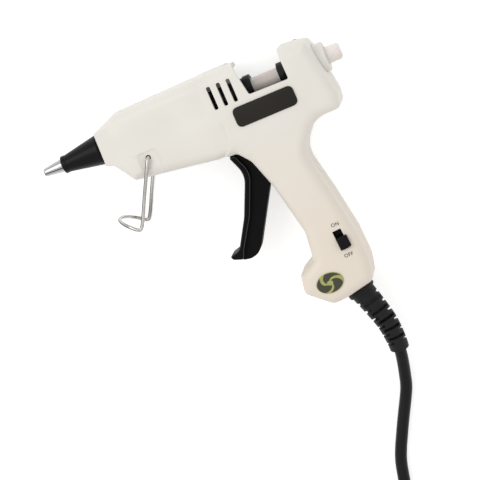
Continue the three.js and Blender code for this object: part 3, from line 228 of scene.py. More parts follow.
def curves(before: np.ndarray, corner: np.ndarray, after: np.ndarray, steps: int) -> np.ndarray:
    """Works out the curve (1-t)^2 A + 2t(1-t) C + t^2 B at each corner.

    Args:
        before: the points A that the curves start from.
        corner: the corners C.
        after: the points B that they end at.
        steps: steps along each curve.

    Returns:
        Rows of X and Y, one corner after another.
    """
    t = np.linspace(0, 1, steps + 1)[None, :, None]
    start, middle, end = before[:, None], corner[:, None], after[:, None]
    return ((1 - t) ** 2 * start + 2 * t * (1 - t) * middle + t**2 * end).reshape(-1, 2)


def rounded_outline(
    corners: Sequence[Corner], inset: float = 0.0, steps: int = 8, sharpest: float = 0.4
) -> np.ndarray:
    """Works out an outline with rounded corners, set in from its edges.

    Each edge moves in by the inset. At each corner the outline leaves its edge one reach before
    the corner and joins the next one reach after it. The reach is the corner's radius, less the
    inset on an outer corner and more on an inner one, times the tangent of half the turn.

    Args:
        corners: X, Y and radius of each corner.
        inset: how far the outline is set in.
        steps: steps along each rounded corner.
        sharpest: the least radius.

    Returns:
        Rows of X and Y, turning left.
    """
    table = np.asarray(corners, dtype=float)
    ahead = np.roll(table[:, :2], -1, axis=0)
    if np.sum(table[:, 0] * ahead[:, 1] - ahead[:, 0] * table[:, 1]) < 0:
        table = table[::-1]
    spots = table[:, :2]
    after = unit(np.roll(spots, -1, axis=0) - spots)
    before = np.roll(after, 1, axis=0)
    along = np.sum(before * after, axis=1)
    bend = before[:, 0] * after[:, 1] - before[:, 1] * after[:, 0]
    inward = np.stack([-before[:, 1] - after[:, 1], before[:, 0] + after[:, 0]], axis=1)
    spots = spots + inward * (inset / (1 + along))[:, None]
    sides = np.linalg.norm(np.roll(spots, -1, axis=0) - spots, axis=1)
    wanted = np.maximum(table[:, 2] - np.sign(bend) * inset, sharpest)
    slope = np.tan(np.arccos(np.clip(along, -1, 1)) / 2)
    room = EDGE_SHARE * np.minimum(np.roll(sides, 1), sides)
    reach = np.minimum(wanted * slope, room)[:, None]
    return curves(spots - before * reach, spots, spots + after * reach, steps)


def grid_faces(rows: int, columns: int, wrap_rows: bool = False) -> np.ndarray:
    """Lists the four-sided faces of a grid whose columns close round.

    Args:
        rows: how many rings the grid has.
        columns: how many points each ring has.
        wrap_rows: whether the last ring joins the first.

    Returns:
        One row of four indices for each face.
    """
    levels = rows if wrap_rows else rows - 1
    level, column = np.meshgrid(np.arange(levels), np.arange(columns), indexing="ij")
    low, high, beside = level * columns, (level + 1) % rows * columns, (column + 1) % columns
    faces = [low + column, low + beside, high + beside, high + column]
    return np.stack(faces, axis=-1).reshape(-1, 4)


def loft(rings: np.ndarray) -> Surface:
    """Joins rings of points into a closed body with a flat face on its first and last ring.

    Args:
        rings: an array of ring, point and X, Y, Z.

    Returns:
        The closed surface.
    """
    count, around = rings.shape[:2]
    faces = grid_faces(count, around).tolist()
    faces.append(list(range(around))[::-1])
    faces.append(list(range((count - 1) * around, count * around)))
    return Surface(rings.reshape(-1, 3), faces)


def stack(outlines: Sequence[np.ndarray], heights: Iterable[float]) -> Surface:
    """Lofts outlines of equal count, each at its own height.

    Args:
        outlines: rows of X and Y for each level.
        heights: each level's Z.

    Returns:
        The closed surface.
    """
    levels = [np.column_stack([o, np.full(len(o), z)]) for o, z in zip(outlines, heights)]
    return loft(np.array(levels))


def pillow(
    corners: Sequence[Corner],
    half_width: float,
    edge: float,
    inset: float = 0.0,
    levels: int = 8,
    steps: int = 8,
) -> Surface:
    """Works out a flat form with its edges rounded over.

    At an angle a from the side the outline is set in by edge (1 - cos a), at a height of
    half_width - edge + edge sin a, on both faces.

    Args:
        corners: X, Y and radius of each corner.
        half_width: half its thickness.
        edge: the radius of its edges.
        inset: how far the whole outline is set in.
        levels: steps round each edge.
        steps: steps round each corner.

    Returns:
        The closed surface.
    """
    angles = np.linspace(0, math.pi / 2, levels + 1)
    inward = edge * (1 - np.cos(angles))
    rise = half_width - edge * (1 - np.sin(angles))
    outlines = [rounded_outline(corners, inset + step, steps) for step in inward]
    return stack(outlines[::-1] + outlines, [*(-rise[::-1]), *rise])


def plate(corners: Sequence[Corner], low: float, high: float, steps: int = 6) -> Surface:
    """Stands an outline up between two heights, as a closed body."""
    outline = rounded_outline(corners, steps=steps, sharpest=CRISP)
    return stack([outline, outline], [low, high])


def rectangle(low: Pair, high: Pair, radius: float = 0.0) -> list[Corner]:
    """Lists the corners of a rectangle between two points, with one radius."""
    (x0, y0), (x1, y1) = low, high
    return [(x0, y0, radius), (x1, y0, radius), (x1, y1, radius), (x0, y1, radius)]


def centred(spot: Pair, half_x: float, half_y: float, radius: float = 0.0) -> list[Corner]:
    """Lists the corners of a rectangle about a spot, with one radius."""
    x, y = spot
    return rectangle((x - half_x, y - half_y), (x + half_x, y + half_y), radius)


def bar(radius: float, spot: Pair, low: float, high: float, around: int = 48) -> Surface:
    """Stands a round bar of a radius on a spot, along Z between two heights."""
    b = full_turn(around)
    ring = np.column_stack([spot[0] + radius * np.cos(b), spot[1] + radius * np.sin(b)])
    return stack([ring, ring], sorted([low, high]))


def softened(profile: Sequence[Corner], steps: int = 5) -> np.ndarray:
    """Rounds the inner corners of an open line, each by its own radius.

    Args:
        profile: two coordinates and a radius for each point.
        steps: steps along each rounded corner.

    Returns:
        Rows of the two coordinates, with the line's own ends.
    """
    table = np.asarray(profile, dtype=float)
    spots, radii = table[:, :2], table[1:-1, 2]
    legs = np.diff(spots, axis=0)
    lengths = np.linalg.norm(legs, axis=1)
    ways = legs / lengths[:, None]
    before, after, middle = ways[:-1], ways[1:], spots[1:-1]
    slope = np.tan(np.arccos(np.clip(np.sum(before * after, axis=1), -1, 1)) / 2)
    room = LEG_SHARE * np.minimum(lengths[:-1], lengths[1:])
    reach = np.minimum(radii * slope, room)[:, None]
    arcs = curves(middle - before * reach, middle, middle + after * reach, steps)
    return np.vstack([spots[:1], arcs, spots[-1:]])


def turned(profile: Sequence[Corner], bored: bool = False, around: int = 96) -> Surface:
    """Turns a profile about the stick's axis.

    A point at x and radius r becomes the circle (x, r cos b, r sin b). An open profile starts and
    ends on the axis and gets one pole there; a bored one is a closed ring.

    Args:
        profile: X, radius and corner radius of each point.
        bored: whether the profile closes on itself round a bore.
        around: points round the axis.

    Returns:
        The closed surface.
    """
    line = rounded_outline(profile, steps=5, sharpest=CRISP) if bored else softened(profile)
    rim, b = line if bored else line[1:-1], full_turn(around)
    x = np.repeat(rim[:, :1], around, axis=1)
    rings = np.stack([x, rim[:, 1:] * np.cos(b), rim[:, 1:] * np.sin(b)], axis=-1)
    points = rings.reshape(-1, 3)
    faces = grid_faces(len(rim), around, wrap_rows=bored).tolist()
    if not bored:
        first, end = len(points), (len(rim) - 1) * around
        faces += [[first, (k + 1) % around, k] for k in range(around)]
        faces += [[first + 1, end + k, end + (k + 1) % around] for k in range(around)]
        points = np.vstack([points, [[line[0, 0], 0, 0], [line[-1, 0], 0, 0]]])
    return Surface(points, faces)


# Paths, and surfaces carried along them


@dataclass
class Path:
    """A smooth line through points, evenly sampled by its own length."""

    route: np.ndarray
    samples: int = 48

    def __post_init__(self) -> None:
        """Works out fine points of the line and their distances along it."""
        self.fine = self.centripetal()
        steps = np.linalg.norm(np.diff(self.fine, axis=0), axis=1)
        self.distance = np.concatenate([[0.0], np.cumsum(steps)])
        self.length = float(self.distance[-1])

    def centripetal(self) -> np.ndarray:
        """Works out the centripetal cubic through the route.

        Between the points P1 and P2 it is the cubic whose end slopes come from its neighbours P0
        and P3, with the knots spaced by the square roots of the distances.

        Returns:
            Rows of fine points along the line.
        """
        route = np.asarray(self.route, dtype=float)
        padded = np.vstack([2 * route[0] - route[1], route, 2 * route[-1] - route[-2]])
        p0, p1, p2, p3 = padded[:-3], padded[1:-2], padded[2:-1], padded[3:]
        gaps = np.sqrt(np.linalg.norm(np.diff(padded, axis=0), axis=1))[:, None]
        d0, d1, d2 = gaps[:-2], gaps[1:-1], gaps[2:]
        start = ((p1 - p0) / d0 - (p2 - p0) / (d0 + d1) + (p2 - p1) / d1) * d1
        end = ((p2 - p1) / d1 - (p3 - p1) / (d1 + d2) + (p3 - p2) / d2) * d1
        t = np.linspace(0, 1, self.samples, endpoint=False)[None, :, None]
        square = -3 * p1 + 3 * p2 - 2 * start - end
        cube = 2 * p1 - 2 * p2 + start + end
        spans = p1[:, None] + start[:, None] * t + square[:, None] * t**2 + cube[:, None] * t**3
        return np.vstack([spans.reshape(-1, 3), route[-1:]])

    def at(self, distances: np.ndarray) -> np.ndarray:
        """Returns the points that lie at the given distances along the line."""
        columns = [np.interp(distances, self.distance, self.fine[:, k]) for k in range(3)]
        return np.stack(columns, axis=-1)

    def way(self, distances: np.ndarray, reach: float = 0.25) -> np.ndarray:
        """Returns the unit ways of the line at the given distances."""
        ahead = np.clip(distances + reach, 0, self.length)
        back = np.clip(distances - reach, 0, self.length)
        return unit(self.at(ahead) - self.at(back))


def carried(
    path: Path,
    distances: np.ndarray,
    radius: Callable[[np.ndarray, np.ndarray], np.ndarray],
    square_to: Sequence[float] = (0.0, 0.0, 1.0),
    around: int = 48,
) -> Surface:
    """Carries a round section along a path.

    The point at distance s and angle b is the path's point plus radius(s, b) times
    (side cos b + up sin b), where side is square to the path's way and to square_to, and up is
    square to both.

    Args:
        path: the line to follow.
        distances: where the rings lie along it.
        radius: the radius for arrays of distances and angles.
        square_to: a direction that the path never runs along.
        around: points round each ring.

    Returns:
        The closed surface.
    """
    way = path.way(distances)
    side = unit(np.cross(way, np.asarray(square_to, dtype=float)))
    up = np.cross(side, way)
    s, b = np.meshgrid(distances, full_turn(around), indexing="ij")
    reach = radius(s, b)[..., None]
    around_way = side[:, None] * np.cos(b)[..., None] + up[:, None] * np.sin(b)[..., None]
    return loft(path.at(distances)[:, None] + reach * around_way)


# Solids taken together


def combine(kept: Solid, tools: Iterable[Surface | Solid], joining: Joining) -> Solid:
    """Adds tools to a solid, cuts them from it or keeps what they share.

    Args:
        kept: the solid that changes.
        tools: the surfaces or solids taken up, which are used up.
        joining: how they are taken up.

    Returns:
        The changed solid.
    """
    solids = [tool.to_object("tool") if isinstance(tool, Surface) else tool for tool in tools]
    for solid in solids:
        modifier = kept.modifiers.new(solid.name, "BOOLEAN")
        modifier.operation, modifier.solver = joining.value, "MANIFOLD"
        modifier.object = solid
    depsgraph = bpy.context.evaluated_depsgraph_get()
    mesh = bpy.data.meshes.new_from_object(kept.evaluated_get(depsgraph))
    kept.modifiers.clear()
    kept.data = mesh
    for solid in solids:
        bpy.data.objects.remove(solid)
    return kept


def smooth(piece: Solid, sharp_over: float) -> None:
    """Shades a piece smoothly, with its edges sharp where they turn by more than an angle."""
    piece.data.shade_smooth()
    piece.data.set_sharp_from_angle(angle=math.radians(sharp_over))


# Materials


def linear(colour: Colour) -> tuple[float, float, float, float]:
    """Turns an sRGB colour of 0 to 255 into the linear one that a shader takes."""
    levels = np.asarray(colour, dtype=float) / 255
    light = np.where(levels <= 0.04045, levels / 12.92, ((levels + 0.055) / 1.055) ** 2.4)
    return (*light.tolist(), 1.0)


class NodeBench:
    """A new material with a bench of nodes to build it on."""

    def __init__(self, name: str) -> None:
        """Starts a material.

        Args:
            name: the material's name.
        """
        self.material = bpy.data.materials.new(name)
        self.material.use_nodes = True
        self.tree = self.material.node_tree
        self.shader = self.tree.nodes["Principled BSDF"]
        self.place = self.add("ShaderNodeTexCoord").outputs["Object"]

    def plug(self, socket: Socket, value: object) -> None:
        """Links a node's input to another node's output, or sets it to a value."""
        if isinstance(value, Socket):
            self.tree.links.new(value, socket)
        else:
            socket.default_value = value

    def feed(self, node: bpy.types.Node, **values: object) -> bpy.types.Node:
        """Plugs a node's inputs by name, with spaces written as underscores."""
        for name, value in values.items():
            self.plug(node.inputs[name.replace("_", " ")], value)
        return node

    def add(self, kind: str, **values: object) -> bpy.types.Node:
        """Adds a node of a kind and feeds it."""
        return self.feed(self.tree.nodes.new(kind), **values)

    def dress(self, **values: object) -> None:
        """Feeds the material's own shader."""
        self.feed(self.shader, **values)

    def stretched(self, stretch: Corner) -> Socket:
        """Returns the object's coordinates, stretched along each axis."""
        return self.add("ShaderNodeMapping", Vector=self.place, Scale=stretch).outputs["Vector"]

    def axis(self, source: Socket, letter: str) -> Socket:
        """Returns one axis of a vector."""
        return self.add("ShaderNodeSeparateXYZ", Vector=source).outputs[letter]

    def facing(self, letter: str) -> Socket:
        """Returns how far the surface faces along one axis."""
        return self.axis(self.add("ShaderNodeNewGeometry").outputs["Normal"], letter)

    def noise(self, scale: float, detail: float = 3.0, place: Optional[Socket] = None) -> Socket:
        """Adds a noise of a scale per metre and returns its value."""
        place = place or self.place
        node = self.add("ShaderNodeTexNoise", Vector=place, Scale=scale, Detail=detail)
        return node.outputs["Fac"]

    def spread(self, source: Socket, span: Pair, result: Pair = (0.0, 1.0)) -> Socket:
        """Maps a value from one span to another, held at both ends.

        Args:
            source: the value.
            span: where it starts and ends.
            result: what those become.

        Returns:
            The mapped value.
        """
        (low, high), (start, end) = span, result
        ends = {"From_Min": low, "From_Max": high, "To_Min": start, "To_Max": end}
        return self.add("ShaderNodeMapRange", Value=source, **ends).outputs["Result"]

    def maths(self, operation: str, first: Socket, second: Socket | float = 0.0) -> Socket:
        """Works out one operation on two values.

        Args:
            operation: its name.
            first: the first value.
            second: the second value, where there is one.

        Returns:
            Its result.
        """
        node = self.add("ShaderNodeMath")
        node.operation = operation
        self.plug(node.inputs[0], first)
        self.plug(node.inputs[1], second)
        return node.outputs["Value"]

    def band(self, value: Socket, rising: Pair, falling: Pair) -> Socket:
        """Rises from 0 to 1 over one span of a value and falls back to 0 over another."""
        fall = self.spread(value, falling, (1.0, 0.0))
        return self.maths("MULTIPLY", self.spread(value, rising), fall)

    def mixed(self, share: Socket, first: Colour | Socket, second: Colour | Socket) -> Socket:
        """Mixes two colours by a share.

        Args:
            share: how much of the second colour shows.
            first: a colour, or a node's colour.
            second: the same for the second.

        Returns:
            The mixed colour.
        """
        node = self.add("ShaderNodeMix")
        node.data_type = "RGBA"
        self.plug(node.inputs["Factor"], share)
        for socket, value in zip(node.inputs[6:8], (first, second)):
            self.plug(socket, linear(value) if isinstance(value, tuple) else value)
        return node.outputs[2]

    def paint(self, share: Socket, second: Colour, first: Optional[Colour | Socket] = None) -> None:
        """Mixes a second colour by a share over a first one, or over what is already painted."""
        base = self.shader.inputs["Base Color"]
        self.plug(base, self.mixed(share, first or base.links[0].from_socket, second))

    def roughen(self, pattern: Socket, roughness: Pair, span: Pair = (0.3, 0.7)) -> None:
        """Takes the roughness from a span of a pattern, between two values."""
        self.dress(Roughness=self.spread(pattern, span, roughness))

    def bump(self, height: Socket, depth: float, strength: float = 0.5) -> None:
        """Raises the surface by a pattern, to a depth in millimetres."""
        depth *= MILLIMETRE
        node = self.add("ShaderNodeBump", Height=height, Strength=strength, Distance=depth)
        self.dress(Normal=node.outputs["Normal"])


@dataclass(frozen=True)
class Moulded:
    """Moulded plastic or rubber: a colour that drifts a little, and a fine grain."""

    name: str
    colour: Colour
    drift: Colour
    roughness: Pair = (0.36, 0.48)
    grain: float = 2600.0
    gloss: float = 0.5
    grain_depth: float = 0.02
    drift_scale: float = 45.0
    drift_span: Pair = (0.35, 0.68)
    grain_strength: float = 0.6

    def bench(self) -> NodeBench:
        """Builds the material and returns its bench, for more to be added."""
        bench = NodeBench(self.name)
        share = bench.spread(bench.noise(self.drift_scale), self.drift_span)
        bench.paint(share, self.drift, self.colour)
        grain = bench.noise(self.grain, detail=2.0)
        bench.roughen(grain, self.roughness)
        bench.bump(grain, self.grain_depth, self.grain_strength)
        bench.dress(Specular_IOR_Level=self.gloss)
        return bench

    def make(self) -> Material:
        """Returns the finished material."""
        return self.bench().material


@dataclass(frozen=True)
class WarmedShell(Moulded):
    """The housing's plastic, which is warmer down the handle than along the barrel."""

    warm: Colour = (231, 219, 204)
    warming: Pair = (0.052, -0.012)
    warmest: float = 0.85

    def make(self) -> Material:
        """Returns the finished material: the drift first, then the warmth by height up the gun."""
        bench = self.bench()
        up = bench.axis(bench.place, "Y")
        bench.paint(bench.spread(up, self.warming, (0.0, self.warmest)), self.warm)
        return bench.material


@dataclass(frozen=True)
class PaintedEdgeSheen(Moulded):
    """Black plastic with a painted highlight on its rounded outer edges."""

    sheen: Colour = (74, 74, 75)
    sheen_over: float = 0.0054
    leaning_from: Pair = (0.45, 0.6)
    leaning_to: Pair = (0.86, 0.95)

    def make(self) -> Material:
        """Returns the finished material, with a painted highlight where a face far from the middle
        leans.
        """
        bench = self.bench()
        lean = bench.maths("ABSOLUTE", bench.facing("Z"))
        leaning = bench.band(lean, self.leaning_from, self.leaning_to)
        middle = float(GUN.metres((0, 0, 0))[2])
        away = bench.maths("SUBTRACT", bench.axis(bench.place, "Z"), middle)
        far = bench.maths("GREATER_THAN", bench.maths("ABSOLUTE", away), self.sheen_over)
        # Painted highlight: the sheen colour on leaning faces beyond the web's flanks.
        bench.paint(bench.maths("MULTIPLY", leaning, far), self.sheen)
        return bench.material


@dataclass(frozen=True)
class Metal:
    """A bare or plated metal with its tool marks."""

    name: str
    colour: Colour
    tarnish: Colour
    roughness: Pair = (0.16, 0.34)
    marks: float = 320.0
    depth: float = 0.012
    grain: Grain = Grain.CAST
    tarnish_scale: float = 70.0
    tarnish_span: Pair = (0.4, 0.75)
    mark_detail: float = 5.0

    def bench(self) -> NodeBench:
        """Builds the material and returns its bench, for more to be added."""
        bench = NodeBench(self.name)
        share = bench.spread(bench.noise(self.tarnish_scale), self.tarnish_span)
        bench.paint(share, self.tarnish, self.colour)
        place = bench.stretched(self.grain.value)
        marks = bench.noise(self.marks, self.mark_detail, place)
        bench.roughen(marks, self.roughness)
        bench.bump(marks, self.depth)
        bench.dress(Metallic=1.0)
        return bench

    def make(self) -> Material:
        """Returns the finished material."""
        return self.bench().material


@dataclass(frozen=True)
class PaintedReflectionMetal(Metal):
    """Polished metal with a painted dark reflection in a thin band where it faces one way, and on
    its front end.
    """

    dark: Colour = (52, 52, 54)
    facing: str = "Y"
    line: Pair = (-0.34, -0.22)
    soft: float = 0.05
    front_span: Pair = (-0.95, -0.6)
    front_painted_dark: float = 0.8

    def make(self) -> Material:
        """Returns the finished material: painted darker where the surface faces along the line and
        at its front, as a dark reflection.
        """
        bench = self.bench()
        low, high = self.line
        towards = bench.facing(self.facing)
        under = bench.band(towards, (low - self.soft, low), (high, high + self.soft))
        front = bench.spread(bench.facing("X"), self.front_span, (self.front_painted_dark, 0.0))
        # Painted dark reflection: the dark colour on the facing band and on the front end.
        bench.paint(bench.maths("MAXIMUM", under, front), self.dark)
        return bench.material


@dataclass(frozen=True)
class Milky:
    """The glue stick: milky resin that lets some light in, with painted shade where it lies inside
    the housing.
    """

    name: str = "milky_resin"
    colour: Colour = (240, 236, 229)
    deep: Colour = (226, 221, 213)
    shaded: Colour = (212, 204, 198)
    shaded_to: float = 123.0
    shade_reach: float = 0.004
    cloud_scale: float = 120.0
    cloud_span: Pair = (0.35, 0.7)
    streak_scale: float = 500.0
    streak_stretch: Corner = (0.2, 1.0, 1.0)
    streak_depth: float = 0.04
    roughness: Pair = (0.24, 0.4)
    depth_share: float = 0.3
    depth_reach: float = 0.002

    def make(self) -> Material:
        """Returns the finished material."""
        bench = NodeBench(self.name)
        clouds = bench.spread(bench.noise(self.cloud_scale), self.cloud_span)
        bench.paint(clouds, self.deep, self.colour)
        # Painted shade: the stick turns to the shaded colour where it lies inside the housing.
        edge = GUN.metres((self.shaded_to, 0, 0))[0]
        inside = bench.spread(bench.axis(bench.place, "X"), (edge, edge - self.shade_reach))
        bench.paint(inside, self.shaded)
        place = bench.stretched(self.streak_stretch)
        streaks = bench.noise(self.streak_scale, place=place)
        bench.roughen(streaks, self.roughness)
        bench.bump(streaks, self.streak_depth)
        bench.dress(Subsurface_Weight=self.depth_share, Subsurface_Scale=self.depth_reach)
        return bench.material


@dataclass(frozen=True)
class PrintedBadge:
    """An oval sticker: swirling lime wedges and dark gaps round its middle, under a clear coat."""

    centre: Pair
    half_size: Pair = (5.9, 4.3)
    name: str = "printed_badge"
    lime: Colour = (158, 158, 82)
    worn: Colour = (196, 196, 140)
    dark: Colour = (50, 49, 30)
    wedges: float = 3.0
    swirl: float = 5.0
    gap: Pair = (-0.85, -0.6)
    core: Pair = (0.2, 0.26)
    rim: Pair = (0.93, 0.99)
    wear_scale: float = 900.0
    wear_span: Pair = (0.35, 0.65)
    most_wear: float = 0.35
    gloss_scale: float = 400.0
    roughness: Pair = (0.3, 0.42)
    print_depth: float = 0.03
    coat: Pair = (0.35, 0.15)

    def make(self) -> Material:
        """Returns the finished material.

        At angle a and a share q of the way out, the dark shows where sin(3a + 5q) is over -0.6,
        between a core and the rim.

        Returns:
            The material.
        """
        bench = NodeBench(self.name)
        half_x, half_y = self.half_size
        x, y, _ = GUN.metres((*self.centre, 0))
        middle = bench.add("ShaderNodeMapping", Vector=bench.place, Location=(-x, -y, 0.0))
        across, up = (bench.axis(middle.outputs["Vector"], letter) for letter in "XY")
        squashed = bench.maths("MULTIPLY", across, half_y / half_x)
        flat = bench.add("ShaderNodeCombineXYZ", X=squashed, Y=up)
        length = bench.add("ShaderNodeVectorMath")
        length.operation = "LENGTH"
        bench.plug(length.inputs[0], flat.outputs["Vector"])
        reach = bench.maths("MULTIPLY", length.outputs["Value"], 1 / (half_y * MILLIMETRE))
        spin = bench.maths("MULTIPLY", bench.maths("ARCTAN2", up, across), self.wedges)
        turn = bench.maths("ADD", spin, bench.maths("MULTIPLY", reach, self.swirl))
        wedge = bench.spread(bench.maths("SINE", turn), self.gap)
        ring = bench.band(reach, self.core, self.rim)
        share = bench.maths("MULTIPLY", wedge, ring)
        specks = bench.noise(self.wear_scale)
        wear = bench.spread(specks, self.wear_span, (0.0, self.most_wear))
        bench.paint(share, self.dark, bench.mixed(wear, self.lime, self.worn))
        bench.roughen(bench.noise(self.gloss_scale), self.roughness)
        bench.bump(share, self.print_depth)
        weight, roughness = self.coat
        bench.dress(Coat_Weight=weight, Coat_Roughness=roughness)
        return bench.material


OFF_WHITE = WarmedShell("off_white_shell", (232, 229, 222), (229, 225, 217), roughness=(0.4, 0.5))
PALE_COLLAR = Moulded("pale_collar", (233, 230, 224), (228, 224, 217))
BLACK = Moulded("black_plastic", (9, 9, 10), (6, 6, 7), (0.24, 0.34), gloss=0.1)
# The trigger's black, with a painted highlight on its rounded edges.
PAINTED_SHEEN_BLACK = PaintedEdgeSheen("trigger_black", (9, 9, 10), (6, 6, 7), (0.42, 0.54), gloss=0.1)
KNOB_BLACK = Moulded("knob_black", (25, 22, 22), (19, 17, 17), (0.4, 0.5), gloss=0.12)
LABEL_BLACK = Moulded("label_black", (38, 34, 29), (33, 30, 26), (0.42, 0.55), gloss=0.2)
COLLAR_BLACK = Moulded("collar_black", (27, 27, 28), (21, 21, 22), (0.4, 0.52), gloss=0.2)
RELIEF_RUBBER = Moulded("relief_rubber", (29, 28, 30), (24, 23, 25), (0.45, 0.6), gloss=0.2)
LEAD_SHEATH = Moulded("lead_sheath", (16, 15, 18), (11, 11, 14), (0.36, 0.5), gloss=0.22)
SILICONE = Moulded("nozzle_silicone", (17, 17, 19), (10, 10, 12), (0.28, 0.42), gloss=0.16)
DARK_RUBBER = Moulded("dark_rubber", (30, 30, 31), (24, 24, 25), (0.55, 0.7), gloss=0.2)
MARKING = Moulded("marking_ink", (84, 82, 78), (66, 64, 61), (0.5, 0.62), gloss=0.2)
RED_SLEEVE = Moulded("red_sleeve", (163, 50, 42), (140, 42, 36))
BLUE_SLEEVE = Moulded("blue_sleeve", (43, 93, 156), (36, 78, 134))
AMBER = Moulded("amber_film", (185, 118, 42), (160, 98, 34), (0.2, 0.34))
FIRED = Moulded("fired_ceramic", (207, 202, 191), (190, 184, 172), (0.6, 0.8))
BOARD = Moulded("brown_board", (109, 81, 56), (88, 64, 44), (0.6, 0.78), grain=900.0)
BRIGHT = Metal("bright_steel", (196, 194, 190), (120, 117, 112), grain=Grain.DRAWN)
# The stand's wire, with a painted dark reflection on faces turned towards -X.
WIRE_STEEL = PaintedReflectionMetal(
    "wire_steel", (206, 204, 200), (150, 147, 142), grain=Grain.DRAWN, dark=(70, 68, 66),
    facing="X", line=(-0.85, -0.55),
)
# The nozzle tip, with a painted dark reflection on faces turned a little down and on its front end.
TURNED_STEEL = PaintedReflectionMetal("turned_steel", (200, 200, 201), (140, 141, 144), grain=Grain.TURNED)
ZINC = Metal("zinc_plate", (182, 184, 187), (160, 163, 164), (0.3, 0.46))
CAST = Metal("cast_metal", (168, 170, 173), (146, 148, 150), (0.42, 0.6), 260.0, 0.05)
BRASS = Metal("rolled_brass", (196, 156, 78), (172, 132, 62), (0.24, 0.4))


# Pieces


@dataclass
class Assembly:
    """What the sub-assemblies share: how a piece is finished off."""

    body: Body = Body.HOUSING

    def settle(
        self,
        piece: Solid,
        material: Material,
        slot: str,
        *nodes: str,
        sharp_over: Optional[float] = None,
        body: Optional[Body] = None,
    ) -> Solid:
        """Dresses a new piece and ties it to the model.

        Args:
            piece: the new piece, in place.
            material: its material.
            slot: the record's slot for its finish, which is not used.
            nodes: the CAD nodes that it stands for.
            sharp_over: the turn in degrees that keeps an edge sharp, where it is shaded smoothly.
            body: the body that it rides on, where it isn't the assembly's own.

        Returns:
            The piece.
        """
        if sharp_over is not None:
            smooth(piece, sharp_over)
        piece.data.materials.clear()
        piece.data.materials.append(material)
        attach(piece, (body or self.body).value)
        if nodes:
            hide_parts(*nodes)
        LOG.info("%s stands for %s", piece.name, ", ".join(nodes) or "itself")
        return piece

    def dress_nodes(self, finishes: dict[str, Material]) -> None:
        """Gives CAD nodes that stay as they are their materials.

        Args:
            finishes: the material of each node.
        """
        for name, material in finishes.items():
            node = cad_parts[name]
            node.data.materials.clear()
            node.data.materials.append(material)
            LOG.info("%s keeps its own form", name)


